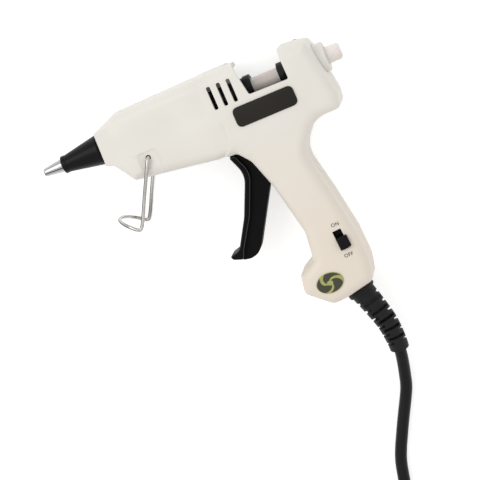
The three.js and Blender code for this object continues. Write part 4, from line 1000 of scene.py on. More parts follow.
@dataclass
class Housing(Assembly):
    """The moulded housing in two halves, with its window, vents, holes and screw posts."""

    front: float = 26.3
    length: float = 101.6
    height: float = 109.0
    half_width: float = 14.0
    barrel_half_width: float = 11.8
    nose_half_width: float = 8.4
    wall: float = 1.8
    edge: float = 4.6
    parting: float = 0.3
    relief_bore: float = 4.7
    keeper_room: float = 6.3
    neck_from: float = -2.1
    widening_cuts: tuple[int, int] = (19, 8)
    flare: Pair = (0.125, 0.063)
    flare_drop: float = 9.0
    past: float = 18.0
    window_lead: float = 4.4
    trigger_half: float = 5.0
    stand_hole: float = 1.1
    stand_boss: Pair = (2.4, 8.6)
    pad_low: Pair = (-4.7, -5.0)
    pad_high: Pair = (4.7, 2.9)
    pad_steps: Line = ((0.7, -0.42), (0.15, -0.12), (0.0, 0.1), (0.0, 6.2))
    pin_hole: float = 1.75
    pin_end: float = 11.9
    pin_boss: Pair = (3.2, 9.8)
    post: float = 2.9
    posts_end: float = 17.0
    pilot: float = 1.4
    pilot_spare: float = 0.6
    counterbore: float = 2.6
    counterbore_depth: float = 1.8
    sunk: float = 1.4
    head_height: float = 1.5
    shank: float = 17.0
    vents: int = 3
    vent_pitch: float = 4.4
    vent_half: Pair = (0.9, 5.1)
    vents_from: float = 4.0
    switch_half: Pair = (1.95, 4.4)
    switch_from: float = 9.0
    switch_turn: float = 3.4
    clamp_back: float = 12.0
    clamp_reach: float = 4.9
    clamp_post: float = 1.8
    clamp_span: Pair = (-13.1, 2.6)
    inmost: float = 0.1
    room_end: float = 20.0
    pilot_sides: int = 24
    post_sides: int = 32
    switch_corner: float = 0.35
    pad_corner: float = 2.0
    widening_rows: Pair = (-12.0, 2.0)
    relief_steps: tuple[float, ...] = (-2.5, -0.1, 0.1, 4.1)
    barrel_shares: Outline = (
        (0.004, -0.058, 0.01), (0.037, -0.069, 0.015), (0.094, -0.152, 0.03),
        (0.45, -0.2, 0.008), (0.56, -0.199, 0.01), (0.56, 0.115, 0.01),
        (0.45, 0.1168, 0.01), (0.104, 0.111, 0.03), (0.052, 0.09, 0.02), (0.008, 0.075, 0.012),
    )
    body_shares: Outline = (
        (0.472, -0.2045, 0.02), (0.527, -0.2055, 0.025), (0.569, -0.254, 0.08),
        (0.612, -0.376, 0.12), (0.656, -0.582, 0.1), (0.642, -0.693, 0.03),
        (0.567, -0.73, 0.025), (0.5535, -0.804, 0.035), (0.649, -0.8825, 0.05),
        (0.707, -0.879, 0.01), (0.838, -0.853, 0.035), (0.8555, -0.775, 0.06),
        (0.8515, -0.66, 0.12), (0.823, -0.49, 0.2), (0.782, -0.3, 0.12), (0.875, -0.195, 0.12),
        (0.997, -0.195, 0.045), (1.004, -0.137, 0.04), (0.992, -0.06, 0.01),
        (0.971, 0.06, 0.01), (0.96, 0.088, 0.025), (0.895, 0.0985, 0.04), (0.66, 0.1185, 0.02),
        (0.47, 0.1185, 0.012), (0.4655, 0.02, 0.06), (0.47, -0.045, 0.06), (0.497, -0.085, 0.06),
    )
    taper_shares: Line = (
        (-0.03, -0.1), (0.0, 0.14), (0.03, 0.37), (0.06, 0.58), (0.09, 0.78), (0.12, 0.9),
        (0.16, 1.0), (0.25, 1.05), (1.1, 1.2),
    )
    trigger_slot: Outline = (
        (0.468, -0.14, 0), (0.468, -0.225, 0), (0.535, -0.24, 0.01), (0.59, -0.4, 0.01),
        (0.604, -0.486, 0), (0.656, -0.486, 0.005), (0.64, -0.36, 0.01), (0.6, -0.22, 0.02),
        (0.58, -0.14, 0),
    )
    window: Outline = (
        (92.1, 14.2, 0), (94.7, -1.3, 1.0), (112.4, -1.6, 1.0), (112.1, 14.2, 0),
    )
    screws: Outline = (
        (0.098, -0.112, 0.77), (0.325, -0.141, 0.84), (0.9, 0.077, 1), (0.935, -0.135, 1),
        (0.7, -0.53, 1), (0.633, -0.795, 1),
    )
    stand_pivot: Pair = (0.186, -0.086)
    widening_span: Pair = (0.285, 0.47)
    vent_first: Pair = (0.5295, 0.029)
    switch_centre: Pair = (0.784, -0.6569)
    tip_room: Outline = ((17.3, 0, 0), (17.3, 3, 0), (29.3, 3, 0), (29.3, 0, 0))
    stick_room: Outline = (
        (28.1, 0, 0), (28.1, 7.8, 0), (94.27, 7.8, 0), (94.27, 5.8, 0), (121.4, 5.8, 0),
        (121.4, 7.8, 0), (123.4, 7.8, 0), (123.4, 6.7, 0), (134, 6.7, 0), (134, 0, 0),
    )

    def place(self, share: Sequence[float]) -> Pair:
        """Turns shares of the length and height into a place on the gun."""
        return (self.front + share[0] * self.length, share[1] * self.height)

    def corners(self, shares: Iterable[Corner]) -> list[Corner]:
        """Turns corners given as shares into millimetres."""
        return [(*self.place(share), share[2] * self.length) for share in shares]

    def screw_places(self) -> list[tuple[Pair, float, float]]:
        """Lists each screw's spot, the height of its head's face and its shank's length."""
        return [
            (self.place((x, y)), self.sunk - depth * self.half_width, depth * self.shank)
            for x, y, depth in self.screws
        ]

    def taper(self, inset: float) -> Surface:
        """Builds the barrel's form as seen from above: narrow at the nozzle, then parallel.

        Args:
            inset: how far its flanks are set in.

        Returns:
            A tall form whose sides are the barrel's flanks.
        """
        widening = self.barrel_half_width - self.nose_half_width
        shares = np.array(self.taper_shares)
        x = self.front + shares[:, 0] * self.length
        z = self.nose_half_width + shares[:, 1] * widening - inset
        outline = np.vstack([np.column_stack([x, -z]), np.column_stack([x, z])[::-1]])
        low = np.column_stack([outline[:, 0], np.full(len(outline), -self.height), outline[:, 1]])
        high = low + np.array([0, 2 * self.height, 0])
        return loft(np.array([low, high]))

    def form(self, inset: float) -> Solid:
        """Builds the whole housing's form.

        Args:
            inset: nothing for its outside, one wall for its hollow.

        Returns:
            The form, as one solid.
        """
        edge, flank = self.edge - inset, self.barrel_half_width - inset
        barrel = pillow(self.corners(self.barrel_shares), flank, edge, inset).to_object("barrel")
        flank = self.half_width - inset
        main = pillow(self.corners(self.body_shares), flank, edge, inset).to_object("main")
        combine(barrel, [self.taper(inset)], Joining.KEEP)
        self.widen(barrel)
        return combine(main, [barrel], Joining.ADD)

    def widen(self, barrel: Solid) -> None:
        """Widens the barrel's rear so that its flanks run into the body's.

        At a share a of the length every half width w becomes w (1 + k s(a)), where s rises
        smoothly from 0 to 1 between two shares of the length, and k is larger below the vents.

        Args:
            barrel: the barrel's form, whose mesh is cut across at each step and then moved.
        """
        work = bmesh.new()
        work.from_mesh(barrel.data)
        start, end = (self.front + share * self.length for share in self.widening_span)
        across, along = self.widening_cuts
        cuts = [((x, 0, 0), (1, 0, 0)) for x in np.linspace(start, end, across)]
        cuts += [((0, y, 0), (0, 1, 0)) for y in np.linspace(*self.widening_rows, along)]
        for spot, way in cuts:
            parts = [*work.verts, *work.edges, *work.faces]
            spot = GUN.metres(spot).tolist()
            bmesh.ops.bisect_plane(work, geom=parts, plane_co=spot, plane_no=way)
        bmesh.ops.triangulate(work, faces=work.faces[:])
        work.to_mesh(barrel.data)
        work.free()
        flat = np.empty(3 * len(barrel.data.vertices))
        barrel.data.vertices.foreach_get("co", flat)
        points, origin = flat.reshape(-1, 3), GUN.metres((0, 0, 0))
        x, y, z = (points / MILLIMETRE - origin / MILLIMETRE).T
        share = self.flare[0] + self.flare[1] * step(-y, self.flare_drop)
        growth = 1 + share * step(x - start, end - start)
        points[:, 2] = origin[2] + z * growth * MILLIMETRE
        barrel.data.vertices.foreach_set("co", points.ravel())
        barrel.data.update()

    def openings(self, side: Side) -> list[Surface]:
        """Builds the tools that cut a half's openings.

        Args:
            side: which half.

        Returns:
            The tools.
        """
        sign, past = side.value, self.past
        start = sign * self.inmost
        lead = self.window_lead if side is Side.RIGHT else 0.0
        window = [(x - lead * (k < 2), y, r) for k, (x, y, r) in enumerate(self.window)]
        tools = [
            plate(window, -past, past),
            plate(self.corners(self.trigger_slot), -self.trigger_half, self.trigger_half),
            bar(self.stand_hole, self.place(self.stand_pivot), start, past * sign),
            self.stand_pad(sign),
            bar(self.pin_hole, GUN.pivot, start, self.pin_end * sign),
            turned(self.tip_room),
            turned(self.stick_room),
            self.relief_room(),
        ]
        if side is Side.LEFT:
            x, y = self.place(self.vent_first)
            for place in range(self.vents):
                vent = centred((x + self.vent_pitch * place, y), *self.vent_half, self.vent_half[0])
                tools.append(plate(vent, self.vents_from, past))
            corners = centred((0, 0), *self.switch_half, self.switch_corner)
            slot = plate(corners, self.switch_from, past)
            tools.append(slot.about(self.place(self.switch_centre), self.switch_turn))
        for spot, head, shank in self.screw_places():
            if side is Side.RIGHT:
                tools.append(bar(self.counterbore, spot, -past, head + self.counterbore_depth))
                low, high = -self.half_width, self.parting
            else:
                low, high = 0.0, head + self.head_height + shank + self.pilot_spare
            tools.append(bar(self.pilot, spot, low, high, self.pilot_sides))
        return tools

    def stand_pad(self, sign: int) -> Surface:
        """Works out the shallow sloping pad round the stand's hole.

        Args:
            sign: the sign of Z on its side.

        Returns:
            The tool that cuts it.
        """
        low, high = np.array(self.place(self.stand_pivot)) + (self.pad_low, self.pad_high)
        insets, rises = zip(*self.pad_steps)
        corners = rectangle(low, high, self.pad_corner)
        outlines = [rounded_outline(corners, inset) for inset in insets]
        heights = self.barrel_half_width + np.array(rises)
        return stack(outlines[::sign], sign * heights[::sign])

    def relief_room(self) -> Surface:
        """Works out the hole at the butt that the strain relief's neck and keeper fill."""
        start = LeadRoute.inside + self.neck_from

        def radius(s: np.ndarray, b: np.ndarray) -> np.ndarray:
            """Steps from the keeper's room to the neck's."""
            return np.where(s < start, self.keeper_room, self.relief_bore)

        span = start + np.array(self.relief_steps)
        return carried(LeadRoute().line(), span, radius)

    def half(self, side: Side) -> Solid:
        """Builds one half: walls, posts and bosses, with every opening cut.

        Args:
            side: which half.

        Returns:
            The half, as one solid.
        """
        sign, past = side.value, side.value * self.posts_end
        face = sign * self.parting / 2
        outer, inner = self.form(0.0), self.form(self.wall)
        spots = [spot for spot, _, _ in self.screw_places()]
        posts = [bar(self.post, spot, face, past, self.post_sides) for spot in spots]
        stand = self.place(self.stand_pivot)
        for spot, (radius, start) in ((GUN.pivot, self.pin_boss), (stand, self.stand_boss)):
            posts.append(bar(radius, spot, sign * start, past))
        bosses = combine(posts[0].to_object("bosses"), posts[1:], Joining.ADD)
        combine(bosses, [self.form(0.0)], Joining.KEEP)
        shell = combine(outer, [inner], Joining.CUT)
        combine(shell, [bosses], Joining.ADD)
        near, far = sorted([face, sign * self.room_end])
        wide = 2 * self.length
        room = plate(centred((0, 0), wide, wide), near, far)
        combine(shell, [room], Joining.KEEP)
        if side is Side.RIGHT:
            combine(shell, self.clamp_posts(), Joining.ADD)
        combine(shell, self.openings(side), Joining.CUT)
        shell.name = f"{side.name.lower()}_half"
        return shell

    def clamp_posts(self) -> list[Surface]:
        """Builds the two posts beside the lead that carry its clamp."""
        path, s = LeadRoute().line(), np.array([LeadRoute.inside - self.clamp_back])
        spot, side = path.at(s)[0], unit(np.cross(path.way(s), (0, 0, 1)))[0]
        spots = [spot + way * self.clamp_reach * side for way in (1, -1)]
        low, high = self.clamp_span
        return [bar(self.clamp_post, (x, y), low, high, self.post_sides) for x, y, _ in spots]

    def build(self) -> None:
        """Builds and dresses both halves."""
        shell = OFF_WHITE.make()
        for side in Side:
            node = f"{side.name.lower()}_shell"
            self.settle(self.half(side), shell, "off_white_plastic", node, sharp_over=32)


@dataclass
class LeadRoute:
    """The lead's route: X and Y from the butt's middle, and height over the surface, in mm."""

    butt: Pair = (103.414, -95.1025)
    floor: float = -14.0
    inside: float = 15.9
    relief_length: float = 32.6
    radius: float = 2.6
    inner_radius: float = 22.5
    pitch: float = 5.7
    turns_each_way: float = 3.1
    steps_per_turn: int = 24
    gap: float = 0.3
    table: Outline = (
        (-3.4, 15.6, 14), (0, 0, 14), (2.7, -9.2, 13.6), (4.8, -18.3, 12), (5.2, -27.4, 9.8),
        (4.8, -32.1, 8.5), (3.5, -38.3, 6.4), (1.8, -44.5, 4.5), (0.4, -48.9, 3.5),
        (-1.9, -53.6, 2.9), (-6.5, -62, 2.7), (-10.8, -70.3, 2.7), (-14, -77.1, 2.7),
        (-16.6, -87, 2.7), (-18.2, -95.9, 2.7), (-20.4, -107.9, 2.7), (-22.6, -120.4, 2.7),
        (-23.85, -127.5, 2.7),
    )
    tail_table: Outline = (
        (-11, -2.1, 8.1), (-16, -3.4, 7.6), (-21, -4.8, 7.2), (-26, -6.2, 6.95),
    )

    def line(self) -> Path:
        """Returns the lead's own line, from inside the handle to where its coil starts."""
        return Path(np.array(self.table) + np.array([*self.butt, self.floor]))

    def coil(self) -> tuple[np.ndarray, np.ndarray]:
        """Works out the coil: in on the surface, up as it reverses, and out on top.

        At t turns from where it reverses the radius is the inner one plus |t| pitches, the angle
        falls by one whole turn for each t, and the height climbs a pitch in the middle half turn.

        Returns:
            The coil's points, and the way that it leaves by.
        """
        path = self.line()
        end, way = path.fine[-1], unit(path.fine[-1] - path.fine[-2])
        entry = end + way * (2 * self.radius + self.gap)
        inward = unit(np.array([way[1], -way[0], 0.0]))
        outer = self.inner_radius + self.pitch * self.turns_each_way
        centre = entry + inward * outer
        steps = round(2 * self.turns_each_way * self.steps_per_turn)
        t = self.turns_each_way * (2 * np.arange(steps + 1) / steps - 1)
        radius = self.inner_radius + self.pitch * np.abs(t)
        start = math.atan2(-inward[1], -inward[0])
        angle = start - 2 * math.pi * (t + self.turns_each_way)
        height = entry[2] + self.pitch * np.clip(2 * t + 0.5, 0, 1)
        x, y = centre[0] + radius * np.cos(angle), centre[1] + radius * np.sin(angle)
        spots = np.column_stack([x, y, height])
        return spots, self.level(spots[-1] - spots[-2])

    @staticmethod
    def level(way: np.ndarray) -> np.ndarray:
        """Returns a way laid level, one long."""
        return unit(np.array([way[0], way[1], 0.0]))

    def tail(self) -> np.ndarray:
        """Returns the points from the coil's end to the plug."""
        spots, way = self.coil()
        start = [spots[-1] + way * (2 * self.radius + gaps * self.gap) for gaps in (1, 2)]
        last = np.array([spots[-1][0], spots[-1][1], self.floor])
        return np.vstack([start, np.array(self.tail_table) + last])

    def plug_start(self) -> tuple[np.ndarray, np.ndarray]:
        """Returns where the plug starts, and its way."""
        tail = self.tail()
        way = self.level(tail[-1] - tail[-2])
        return tail[-1] + way * self.gap, way


@dataclass
class Plates(Assembly):
    """The label plate and the badge on the left flank, and the words beside the switch."""

    label_centre: Pair = (98.944, -8.317)
    label_half: Pair = (13.5, 4.25)
    label_corner: float = 2.6
    label_insets: tuple[float, ...] = (0.0, 0.0, 0.06, 0.2)
    label_heights: tuple[float, ...] = (0.0, 0.34, 0.46, 0.5)
    badge_centre: Pair = (94.677, -86.6)
    badge_half: Pair = (5.9, 4.3)
    badge_thickness: float = 0.6
    badge_crown: float = 0.1
    badge_rim: float = 0.12
    badge_rings: tuple[float, float, int] = (0.12, 0.97, 12)
    badge_sides: int = 96
    flank: float = 14.0
    words: tuple[tuple[str, float, float], ...] = (("ON", 106.15, -64.85), ("OFF", 106.5, -78.7))
    word_size: float = 2.13
    word_depth: float = 0.03
    word_weight: float = 0.02
    word_lift: float = 0.02
    letter_spacing: float = 1.08

    def build(self) -> None:
        """Builds the plates and the words."""
        self.label()
        self.badge()
        for text, x, y in self.words:
            self.word(text, x, y)

    def label(self) -> None:
        """Builds the bare label plate, its corners round and its edge eased."""
        corners = centred(self.label_centre, *self.label_half, self.label_corner)
        outlines = [rounded_outline(corners, inset, 10) for inset in self.label_insets]
        piece = stack(outlines, self.flank + np.array(self.label_heights)).to_object("label_face")
        self.settle(piece, LABEL_BLACK.make(), "black_plastic", "label_plate", sharp_over=25)

    def badge(self) -> None:
        """Builds the badge: its thickness less its crown times q^4 high at radius share q."""
        share = np.concatenate([np.linspace(*self.badge_rings), [1.0]])
        rise = self.badge_thickness - self.badge_crown * share**4
        rise[-1] -= self.badge_rim
        share, rise = np.append(share, 1.0), np.append(rise, 0.0)
        (x, y), (half_x, half_y) = self.badge_centre, self.badge_half
        q, b = np.meshgrid(share, full_turn(self.badge_sides), indexing="ij")
        z = self.flank + np.repeat(rise[:, None], self.badge_sides, axis=1)
        rings = np.stack([x + q * half_x * np.cos(b), y + q * half_y * np.sin(b), z], axis=-1)
        badge, printed = loft(rings).to_object("badge_face"), PrintedBadge(self.badge_centre)
        self.settle(badge, printed.make(), "lime_badge", "badge", sharp_over=40)

    def word(self, text: str, x: float, y: float) -> None:
        """Prints a word on the flank, as thin raised letters.

        Args:
            text: the word.
            x: where its middle lies along the gun.
            y: where its middle lies up the gun.
        """
        name = f"word_{text.lower()}"
        curve = bpy.data.curves.new(name, "FONT")
        curve.body, curve.size = text, self.word_size * MILLIMETRE
        curve.space_character = self.letter_spacing
        curve.align_x, curve.align_y = "CENTER", "CENTER"
        curve.extrude, curve.offset = self.word_depth * MILLIMETRE, self.word_weight * MILLIMETRE
        letters = placed(name, curve)
        mesh = bpy.data.meshes.new_from_object(letters)
        bpy.data.objects.remove(letters)
        spot = GUN.metres((x, y, self.flank + self.word_lift))
        mesh.transform(Matrix.Translation(Vector(spot.tolist())))
        self.settle(placed(name, mesh), MARKING.make(), "black_plastic")


@dataclass
class Nozzle(Assembly):
    """The steel tip and its silicone cover, which sit a little over the stick's axis."""

    rise: float = 0.46
    tip: Outline = (
        (0.0, 0.9, 0.1), (0.0, 1.55, 0.25), (0.6, 1.8, 0.3), (8.4, 2.85, 0.2), (9.1, 2.4, 0.1),
        (33.0, 2.4, 0.1), (33.0, 0.9, 0.1),
    )
    cover: Outline = (
        (8.7, 2.9, 0.2), (8.7, 3.8, 0.35), (10.3, 3.82, 0.3), (10.45, 3.68, 0.2),
        (26.0, 6.6, 0.4), (26.0, 2.9, 0.2),
    )

    def build(self) -> None:
        """Builds and dresses both."""
        tip = turned(self.tip, bored=True).moved(0, self.rise, 0).to_object("steel_tip")
        self.settle(tip, TURNED_STEEL.make(), "bright_steel", "nozzle_tip", sharp_over=32)
        cover = turned(self.cover, bored=True).moved(0, self.rise, 0).to_object("silicone_cover")
        self.settle(cover, SILICONE.make(), "nozzle_rubber", "nozzle_cover", sharp_over=50)


@dataclass
class Feed(Assembly):
    """The sleeve, the sliding carriage, the glue stick and the collar it goes in by."""

    sleeve: Outline = (
        (65.9, 5.2, 0.2), (65.9, 6.2, 0.3), (70.9, 6.2, 0.4), (70.9, 5.1, 0.3),
        (92.97, 5.1, 0.2), (93.1, 5.55, 0.3), (96.17, 5.55, 0.45), (96.17, 3.9, 0.3),
        (70.2, 3.9, 0.2), (70.2, 5.2, 0.2),
    )
    ring: Outline = (
        (108.07, 3.9, 0.25), (108.07, 5.2, 0.45), (112.6, 5.2, 0.35), (112.7, 5.0, 0.2),
        (120.67, 5.0, 0.3), (120.67, 4.45, 0.1), (113.3, 4.45, 0.1), (113.3, 3.9, 0.1),
    )
    stick: Outline = (
        (65.5, 0.0, 0.0), (65.5, 3.6, 0.3), (134.6, 3.6, 0.5), (135.47, 2.85, 0.5),
        (135.5, 0.0, 0.0),
    )
    collar: Outline = (
        (121.4, 3.9, 0.1), (121.4, 7.5, 0.2), (123.1, 7.5, 0.2), (123.1, 6.4, 0.2),
        (129.3, 6.4, 0.8), (129.3, 3.9, 0.35),
    )
    trunnion: Pair = (115.07, 0.0)
    trunnion_radius: float = 1.5
    trunnion_span: Pair = (4.7, 9.3)

    def build(self) -> None:
        """Builds the turned parts along the stick's axis."""
        black, resin, pale = COLLAR_BLACK.make(), Milky().make(), PALE_COLLAR.make()
        sleeve = turned(self.sleeve, bored=True).to_object("front_sleeve")
        carriage = self.carriage()
        stick = turned(self.stick).to_object("resin_stick")
        collar = turned(self.collar, bored=True).to_object("rear_collar")
        for piece, material, slot, node, body in (
            (sleeve, black, "black_plastic", "feed_sleeve", Body.HOUSING),
            (carriage, black, "black_plastic", "feed_carriage", Body.FEED),
            (stick, resin, "milky_glue", "glue_stick", Body.STICK),
            (collar, pale, "off_white_plastic", "inlet_collar", Body.HOUSING),
        ):
            self.settle(piece, material, slot, node, sharp_over=50, body=body)

    def carriage(self) -> Solid:
        """Builds the carriage's ring with its two trunnions."""
        ring, spot = turned(self.ring, bored=True).to_object("sliding_carriage"), self.trunnion
        low, high = self.trunnion_span
        arms = [bar(self.trunnion_radius, spot, *ends, 40) for ends in ((low, high), (-high, -low))]
        return combine(ring, arms, Joining.ADD)


@dataclass
class Trigger(Assembly):
    """The trigger: a wide finger flange on a narrower web, its hub and the fork's arms."""

    body: Body = Body.TRIGGER
    flange_shares: Outline = (
        (0.484, -0.214, 0.003), (0.517, -0.294, 0.1), (0.443, -0.445, 0.2), (0.37, -0.556, 0.05),
        (0.3245, -0.5665, 0.01), (0.3315, -0.582, 0.015), (0.374, -0.5965, 0.015),
        (0.389, -0.5625, 0.05), (0.468, -0.449, 0.2), (0.5435, -0.293, 0.1),
        (0.5085, -0.2135, 0.003),
    )
    web_shares: Outline = (
        (0.486, -0.14, 0.006), (0.483, -0.201, 0.01), (0.488, -0.232, 0.01), (0.519, -0.294, 0.1),
        (0.446, -0.445, 0.2), (0.378, -0.556, 0.05), (0.356, -0.5905, 0.01), (0.372, -0.601, 0.05),
        (0.402, -0.606, 0.1), (0.434, -0.5985, 0.1), (0.458, -0.576, 0.1),
        (0.593, -0.369, 0.008), (0.735, -0.218, 0.02), (0.73, -0.157, 0.02),
    )
    flange_half_width: float = 7.0
    web_half_width: float = 4.4
    hub_radius: float = 3.9
    arm_inside: float = 6.6
    arm_thickness: float = 2.3
    trunnion: float = 115.07
    travel: float = 5.7
    arm_half: float = 4.0
    slot_half: float = 2.1
    past: float = 2.3
    arm_round: float = 2.0
    clearance: float = 0.3
    flange_edge: float = 0.6
    web_edge: float = 0.4
    slot_past: float = 3.0
    bore_reach: float = 12.0
    hub_sides: int = 64

    def arm(self, side: Side) -> Solid:
        """Builds one arm up to the carriage's trunnion, with its open slot.

        Args:
            side: which arm.

        Returns:
            The arm, as a solid.
        """
        reach_x, reach_y = self.trunnion - GUN.pivot[0], -GUN.pivot[1]
        lean = -math.degrees(math.atan2(reach_x, reach_y))
        ends = np.array([self.arm_inside, self.arm_inside + self.arm_thickness])
        low, high = sorted(side.value * ends)
        end = math.hypot(reach_x, reach_y) + self.past
        bottom = math.hypot(reach_x - self.travel, reach_y) - self.slot_half
        outline = rectangle((-self.arm_half, 0), (self.arm_half, end), self.arm_round)
        strip, clear = plate(outline, low, high), self.clearance
        top = end + self.slot_past
        opening = rectangle((-self.slot_half, bottom), (self.slot_half, top), clear)
        slot = plate(opening, low - clear, high + clear)
        arm, cut = (form.about(GUN.pivot, lean) for form in (strip, slot))
        return combine(arm.to_object("arm"), [cut], Joining.CUT)

    def build(self) -> None:
        """Builds the trigger as one solid and dresses it."""
        flange, web = map(Housing().corners, (self.flange_shares, self.web_shares))
        lever = pillow(flange, self.flange_half_width, self.flange_edge, levels=5)
        lever = lever.to_object("finger_lever")
        inner = pillow(web, self.web_half_width, self.web_edge, levels=4)
        end = self.arm_inside + self.arm_thickness
        hub = bar(self.hub_radius, GUN.pivot, -end, end, self.hub_sides)
        combine(lever, [inner, hub, *map(self.arm, Side)], Joining.ADD)
        bore = bar(Housing.pin_hole, GUN.pivot, -self.bore_reach, self.bore_reach)
        combine(lever, [bore], Joining.CUT)
        self.settle(lever, PAINTED_SHEEN_BLACK.make(), "black_plastic", "trigger", sharp_over=30)


@dataclass
class Stand(Assembly):
    """The wire stand: hooks into both flanks, two legs and a rounded foot."""

    body: Body = Body.STAND
    wire_radius: float = 0.76
    spacing: float = 12.85
    leg: float = 31.0
    foot: float = 11.1
    bend: float = 1.35
    hook: float = 3.6
    lean: float = 28.7
    foot_turn: float = 100.0
    eased: float = 0.25
    easing: float = 0.2
    tuck: float = 0.3
    arch_steps: int = 9
    rings: int = 320
    sides: int = 24

    def ways(self) -> tuple[np.ndarray, np.ndarray]:
        """Returns the way down the legs and the way out along the foot."""
        lean, turn = math.radians(self.lean), math.radians(self.foot_turn)
        down = np.array([-math.sin(lean), -math.cos(lean)])
        spin = np.array([[math.cos(turn), math.sin(turn)], [-math.sin(turn), math.cos(turn)]])
        return down, spin @ down

    def build(self) -> None:
        """Carries the wire along its legs and foot, where the foot is out by a sine of the way."""
        down, out = self.ways()
        spread, bend, corner = self.spacing, self.bend, self.leg
        tuck = self.tuck * bend
        near = np.array([
            [0, 0, spread - self.hook], [0, 0, spread - bend], [tuck, 0, spread - tuck],
            [bend, 0, spread], [corner / 2, 0, spread], [corner - bend, 0, spread],
            [corner - tuck, tuck, spread],
        ])
        angle = np.linspace(0, math.pi, self.arch_steps)
        arch = np.column_stack([
            np.full(self.arch_steps, corner),
            bend + (self.foot - bend) * np.sin(angle),
            spread * np.cos(angle),
        ])
        route = np.vstack([near, arch, near[::-1] * np.array([1, 1, -1])])
        flat = np.array(Housing().place(Housing.stand_pivot))
        flat = flat + route[:, :1] * down + route[:, 1:2] * out
        path = Path(np.column_stack([flat, route[:, 2]]))
        distances = np.linspace(0, path.length, self.rings)

        def radius(s: np.ndarray, b: np.ndarray) -> np.ndarray:
            """Keeps the wire's radius, less a share of exp(-d / reach) at d from a cut end."""
            ends = np.minimum(s, path.length - s)
            return self.wire_radius * (1 - self.eased * np.exp(-ends / self.easing))

        wire = carried(path, distances, radius, [*(down - out), 0.0], self.sides)
        piece, steel = wire.to_object("bent_wire"), WIRE_STEEL.make()
        self.settle(piece, steel, "bright_steel", "stand_wire", sharp_over=60)


@dataclass
class Switch(Assembly):
    """The slide switch's knob, ridged across its thumb face."""

    body: Body = Body.KNOB
    rest: float = -1.9
    across: Pair = (-1.7, 3.1)
    along: Pair = (-2.05, 3.2)
    pad_middle: float = 15.05
    pad_half: float = 0.75
    stem_half: Pair = (1.6, 1.75)
    stem_span: Pair = (10.7, 14.6)
    ridges: int = 5
    ridge_inset: Pair = (0.35, 0.65)
    ridge_half: float = 0.22
    ridge_span: Pair = (15.5, 16.0)
    ridge_corner: float = 0.1
    corner: float = 0.5
    edge: float = 0.3

    def build(self) -> None:
        """Builds the knob: a pad with ridges across it, on a stem."""
        (left, right), (low, high) = self.across, self.rest + np.array(self.along)
        inset, from_end = self.ridge_inset
        face = rectangle((left, low), (right, high), self.corner)
        pad = pillow(face, self.pad_half, self.edge, levels=4).moved(0, 0, self.pad_middle)
        forms = [pad, plate(centred((0, self.rest), *self.stem_half), *self.stem_span)]
        for y in np.linspace(low + from_end, high - from_end, self.ridges):
            ends = (left + inset, y - self.ridge_half), (right - inset, y + self.ridge_half)
            forms.append(plate(rectangle(*ends, self.ridge_corner), *self.ridge_span))
        spot, turn = Housing().place(Housing.switch_centre), Housing.switch_turn
        pad, *extras = (form.about(spot, turn) for form in forms)
        knob = combine(pad.to_object("thumb_knob"), extras, Joining.ADD)
        self.settle(knob, KNOB_BLACK.make(), "black_plastic", "switch_knob", sharp_over=35)


